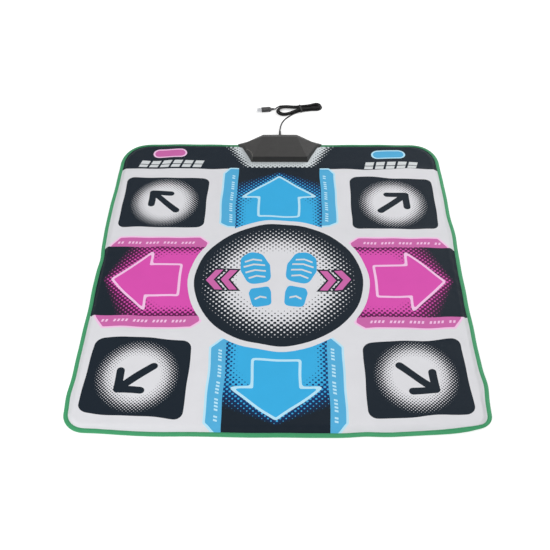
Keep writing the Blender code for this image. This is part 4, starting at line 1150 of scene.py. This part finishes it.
def smooth_route(route, spacing):
    """Points at an even spacing along a smooth curve through the route's points."""
    points = np.array(route, dtype=float)
    padded = np.vstack([2 * points[0] - points[1], points, 2 * points[-1] - points[-2]])
    fine = [points[0]]
    for before, start, end, after in zip(padded, padded[1:], padded[2:], padded[3:]):
        for t in np.linspace(0.0, 1.0, 13)[1:]:
            bend = (end - before) * t + (2 * before - 5 * start + 4 * end - after) * t**2
            fine.append(0.5 * (2 * start + bend + (3 * start - before - 3 * end + after) * t**3))
    fine = np.array(fine)
    along = np.concatenate([[0.0], np.cumsum(np.linalg.norm(np.diff(fine, axis=0), axis=1))])
    even = np.linspace(0.0, along[-1], round(along[-1] / spacing) + 1)
    return np.column_stack([np.interp(even, along, fine[:, axis]) for axis in range(3)])


def make_cord():
    hank = [tuple(np.array(p) + (*HANK_CENTRE, 0.0)) for p in hank_path(16)]
    start = [CORD_EXIT, (0.0, CORD_EXIT[1] + 0.007, 0.0077)]
    (x, y), out = PLUG_PLACE, math.radians(PLUG_ANGLE)
    plug = [(x - reach * math.cos(out), y - reach * math.sin(out), PLUG_MIDDLE) for reach in (0.005, 0.0)]
    before = np.array(hank[0]) + 1.2 * (np.array(hank[0]) - hank[1])
    after = np.array(hank[-1]) + 1.2 * (np.array(hank[-1]) - hank[-2])
    route = start + LEAD_ROUTE + [tuple(before)] + hank + [tuple(after)] + TAIL_ROUTE + plug
    points = smooth_route(route, 0.0012)
    curve = bpy.data.curves.new("usb_cord", "CURVE")
    curve.dimensions = "3D"
    curve.bevel_depth = CORD_DIAMETER / 2
    curve.bevel_resolution = 5
    curve.use_fill_caps = True
    spline = curve.splines.new("POLY")
    spline.points.add(len(points) - 1)
    places = np.column_stack([points, np.ones(len(points))])
    spline.points.foreach_set("co", places.astype(np.float32).ravel())
    curve.materials.append(jacket())
    obj = add_object("usb_cord", curve)
    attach(obj, "mat")
    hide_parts("cord_lead", "cord_hank", "cord_tail")


def jacket():
    paint = Paint("cord_jacket", (12, 12, 13), 0.50, specular=0.25)
    paint.dapple(160.0, 0.08)
    paint.relief(paint.noise(700.0), 0.00004)
    return paint.done()


# Underside and edge binding

# How far the stitches lie inside the mat's edge
STITCH_REACH = 0.0069


def mat_piece(name, verts, faces, material):
    """A mesh in one material, which rides on the mat."""
    mesh = bpy.data.meshes.new(name)
    mesh.from_pydata(verts, [], faces)
    mesh.materials.append(material)
    obj = add_object(name, mesh)
    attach(obj, "mat")
    return obj


def make_underside():
    rim = inset(OUTLINE, TRIM)
    rows = np.array([(x, y) for x in np.arange(-0.41, 0.41, 0.02) for y in np.arange(-0.45, 0.46, 0.02)])
    away, _ = distance_to(rows, OUTLINE)
    rows = rows[inside(rows, OUTLINE) & (away > 0.02)]
    loose = np.vstack([rows] + [inset(OUTLINE, reach) for reach in (0.005, 0.008, 0.011, 0.015)])
    points, faces = cut_sheet(rim, box_notch(), [], loose)
    verts = np.column_stack([points, under_height(points)]).tolist()
    obj = mat_piece("anti_slip_underside", verts, faces[:, ::-1].tolist(), anti_slip())
    obj.data.shade_smooth()
    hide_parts("bottom_cover")
    flat_area(points, faces)


def anti_slip():
    """Dark backing cloth with rows of raised rubbery dots."""
    paint = Paint("anti_slip_cloth", (58, 60, 64), 0.75)
    paint.dapple(30.0, 0.05)
    dots = paint.halftone(0.24, 0.0085, 0.06)
    paint.ink(dots, linear((34, 35, 38)))
    paint.relief(dots, 0.0004)
    return paint.done()


def tape():
    """Green woven tape, with painted shade that darkens it a little towards the back."""
    paint = Paint("green_tape", GREEN, 0.62)
    # Painted shade: the tape turns a darker green towards the back edge
    paint.ink(paint.fade(paint.y, 0.36, 0.455) * 0.55, linear((22, 104, 64)))
    paint.dapple(60.0, 0.08)
    paint.weave(0.0012, 0.00008, paint.x + paint.y, paint.x - paint.y)
    return paint.done()


def edge_stations(step):
    """Points along the mat's edge from the box's right side round to its left, with outward directions."""
    line = np.array(spread(OUTLINE, step))
    along = np.roll(line, -1, axis=0) - np.roll(line, 1, axis=0)
    along /= np.linalg.norm(along, axis=1)[:, None]
    outward = np.column_stack([along[:, 1], -along[:, 0]])
    open_part = ~((line[:, 1] > 0.44) & (np.abs(line[:, 0]) < 0.1118))
    first = int(np.flatnonzero(open_part & ~np.roll(open_part, 1))[0])
    order = (np.arange(open_part.sum()) + first) % len(line)
    return line[order], outward[order]


def rolled_under(points, outward):
    """How much of the tape's width shows: less at the front edge's right end, where it curls under."""
    return 1.0 - 0.50 * bell(points[:, 0], 0.382, 0.034) * np.clip(-outward[:, 1], 0.0, 1.0) ** 2


def make_binding():
    points, outward = edge_stations(0.004)
    shown = rolled_under(points, outward)
    least = 0.0005
    rows = []
    # Over the print, as reach from the edge and height over the cover
    for reach, over in ((0.0088, 1), (0.0086, 9), (0.0066, 11), (0.0038, 11), (0.0018, 8), (least, 0)):
        reach = least + (reach - least) * shown
        covered = points - outward * np.maximum(reach, TRIM)[:, None]
        rows.append((reach, cover_height(covered) + over * 0.0001))
    # Round the edge, then under the mat and back inside the fold
    top = rows[-1][1]
    rows.append((0.0, top * 0.65))
    under = ((0.0002, 0.0011), (0.0010, 0.0002), (0.0086, 0.0001), (0.0088, 0.0009), (0.0020, 0.0010))
    rows += [(reach, np.full(len(points), z)) for reach, z in under]
    rows.append((0.0014, top * 0.6))
    rows.append((0.0022, cover_height(points - outward * 0.0022) + 0.0002))
    verts = []
    for reach, z in rows:
        row = np.column_stack([points - outward * np.reshape(reach, (-1, 1)), z])
        # Each end is cut along the controller box's slanted wall
        ends = row[[0, -1]]
        ends[:, 0] = np.sign(ends[:, 0]) * box_side_x(ends[:, 1], SHELL_CLEARANCE)
        verts.append(np.vstack([ends[:1], row, ends[1:]]))
    index = np.arange(len(rows) * (len(points) + 2)).reshape(len(rows), -1)
    faces = []
    for a, b in zip(index, np.roll(index, -1, axis=0)):
        faces += np.column_stack([a[:-1], a[1:], b[1:], b[:-1]]).tolist()
    faces += [index[::-1, 0].tolist(), index[:, -1].tolist()]
    obj = mat_piece("binding_tape", np.vstack(verts).tolist(), faces, tape())
    obj.data.shade_smooth()
    obj.data.set_sharp_from_angle(angle=math.radians(50))
    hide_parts("edge_binding")


def make_stitches():
    """The seam that holds the tape: one row of short stitches near its inner edge, on the printed side."""
    points, outward = edge_stations(0.0044)
    away = points - outward * (STITCH_REACH * rolled_under(points, outward))[:, None]
    height = cover_height(away) + 0.0010
    along = np.column_stack([-outward[:, 1], outward[:, 0]])
    verts, faces = [], []
    for spot, z, ahead, side in zip(away[1:-1], height[1:-1], along[1:-1], outward[1:-1]):
        first = len(verts)
        # A pointed end, two half rings and the other pointed end
        verts.append((*(spot - ahead * 0.0015), z))
        for reach in (-0.0011, 0.0011):
            for turn in range(5):
                angle = math.pi * turn / 4
                wide = side * 0.00036 * math.cos(angle)
                verts.append((*(spot + ahead * reach + wide), z + 0.00030 * math.sin(angle)))
        verts.append((*(spot + ahead * 0.0015), z))
        near, far = list(range(first + 1, first + 6)), list(range(first + 6, first + 11))
        for i in range(5):
            j = (i + 1) % 5
            side_face = (near[i], near[j], far[j], far[i])
            faces += [side_face, (first, near[j], near[i]), (first + 11, far[i], far[j])]
    thread = plain_finish("stitching_thread", (40, 122, 80), 0.55, grain=900.0)
    mat_piece("binding_stitches", verts, faces, thread)


# Finishes of the solids that are carried over

# The centre and radius of a long thin pale curved line on the box's shell
PALE_ARC_CENTRE, PALE_ARC_RADIUS = (-0.1120, 0.3830), 0.0420
# Where the latch holes lie, from the plug's cord end and its middle line
HOLE_AHEAD, HOLE_BESIDE = 0.0395, 0.0028


def shell_plastic():
    """Black moulded plastic with a spark texture, uneven in tone, and one long thin pale curved line."""
    paint = Paint("black_plastic", (38, 37, 36), 0.46, specular=0.35)
    paint.dapple(45.0, 0.16)
    paint.dapple(330.0, 0.20)
    # A long thin pale line curves from the left front wall over to the front
    away = abs(paint.length(paint.x - PALE_ARC_CENTRE[0], paint.y - PALE_ARC_CENTRE[1]) - PALE_ARC_RADIUS)
    thin = paint.fade(away, 0.0008, 0.0002) * paint.fade(paint.noise(130.0), 0.42, 0.60)
    here = paint.calc("LESS_THAN", paint.x, -0.0600) * paint.calc("LESS_THAN", paint.y, 0.4250)
    here = here * paint.calc("GREATER_THAN", paint.z, 0.0090)
    paint.ink(thin * here, linear((112, 110, 104)))
    paint.uneven_gloss(60.0, 0.40, 0.16)
    paint.relief(paint.noise(1100.0, 1.0), 0.00012)
    return paint.done()


def along_plug(paint):
    """How far a point lies ahead of the plug's cord end, and beside its middle line."""
    c, s = math.cos(math.radians(PLUG_ANGLE)), math.sin(math.radians(PLUG_ANGLE))
    x, y = paint.x - PLUG_PLACE[0], paint.y - PLUG_PLACE[1]
    return x * c + y * s, y * c - x * s


def plug_plastic():
    """Black vinyl, with shallow grip ridges across the plug."""
    paint = Paint("plug_plastic", (38, 38, 41), 0.40)
    paint.dapple(200.0, 0.06)
    ahead, _ = along_plug(paint)
    ridges = paint.calc("SINE", ahead * (math.tau / 0.0016))
    paint.relief(ridges * paint.calc("LESS_THAN", abs(ahead - 0.0220), 0.0064), 0.00022)
    paint.relief(paint.noise(1800.0, 1.0), 0.00004)
    return paint.done()


def plug_steel():
    """Bright plated steel, with the two square latch holes of a USB plug on its flat sides: shallow dents
    with painted shade, dark squares for the shade inside them.
    """
    paint = Paint("bright_steel", (196, 198, 202), 0.24, 1.0)
    paint.dapple(300.0, 0.06)
    ahead, beside = along_plug(paint)
    edge = paint.calc("MAXIMUM", abs(abs(beside) - HOLE_BESIDE), abs(ahead - HOLE_AHEAD))
    # Painted shade: each latch hole is a dark square, for the shade inside it
    hole_shade = paint.fade(edge, 0.00118, 0.00102)
    paint.ink(hole_shade, linear((26, 26, 28)))
    paint.relief(1.0 - hole_shade, 0.0002)
    return paint.done()


def plain_finish(name, colour, roughness, metallic=0.0, grain=300.0):
    """A moulded, cast or rolled surface: its own colour with slight unevenness in shade and gloss."""
    paint = Paint(name, colour, roughness, metallic)
    paint.dapple(grain, 0.06)
    paint.uneven_gloss(grain * 1.7, roughness - 0.06, 0.12)
    return paint.done()


# The solids with a plain finish, with their material's name, colour and roughness
PLAIN_SOLIDS = {
    "cable_gland": ("gland_vinyl", (17, 17, 18), 0.5),
    "cord_tie": ("tie_vinyl", (16, 16, 18), 0.5),
    "plug_tongue": ("tongue_plastic", (232, 232, 228), 0.45),
    "circuit_board": ("board_laminate", (24, 84, 52), 0.4),
    "chip_cover": ("black_resin", (18, 18, 20), 0.3),
    "clamp_pad": ("clamp_rubber", (40, 40, 40), 0.8),
    "film_clamp_bar": ("clamp_plastic", (210, 210, 204), 0.5),
    "upper_contact_film": ("carbon_film", (52, 54, 58), 0.35),
    "lower_contact_film": ("carbon_film_lower", (52, 54, 58), 0.35),
    "spacer_foam": ("spacer_foam", (206, 206, 200), 0.9),
    "padding_foam": ("padding_foam", (216, 216, 212), 0.9),
}


def dress_solids():
    finishes = {node: plain_finish(*look) for node, look in PLAIN_SOLIDS.items()}
    finishes["top_shell"] = finishes["bottom_shell"] = shell_plastic()
    finishes["plug_body"], finishes["plug_shell"] = plug_plastic(), plug_steel()
    finishes["inner_cord"] = jacket()
    screw = plain_finish("screw_steel", (168, 170, 174), 0.32, 1.0)
    for node in bpy.data.objects:
        if node.type != "MESH" or "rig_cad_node" not in node:
            continue
        look = finishes.get(node.name)
        if "_screw" in node.name:
            look = screw
        elif node.name.endswith("_foam_patch"):
            look = finishes["padding_foam"]
        elif node.name.endswith("_contact_patch"):
            look = finishes["upper_contact_film"]
        if look and node.data.materials:
            node.data.materials[0] = look


make_cord()
make_cover()
make_underside()
make_binding()
make_stitches()
dress_solids()
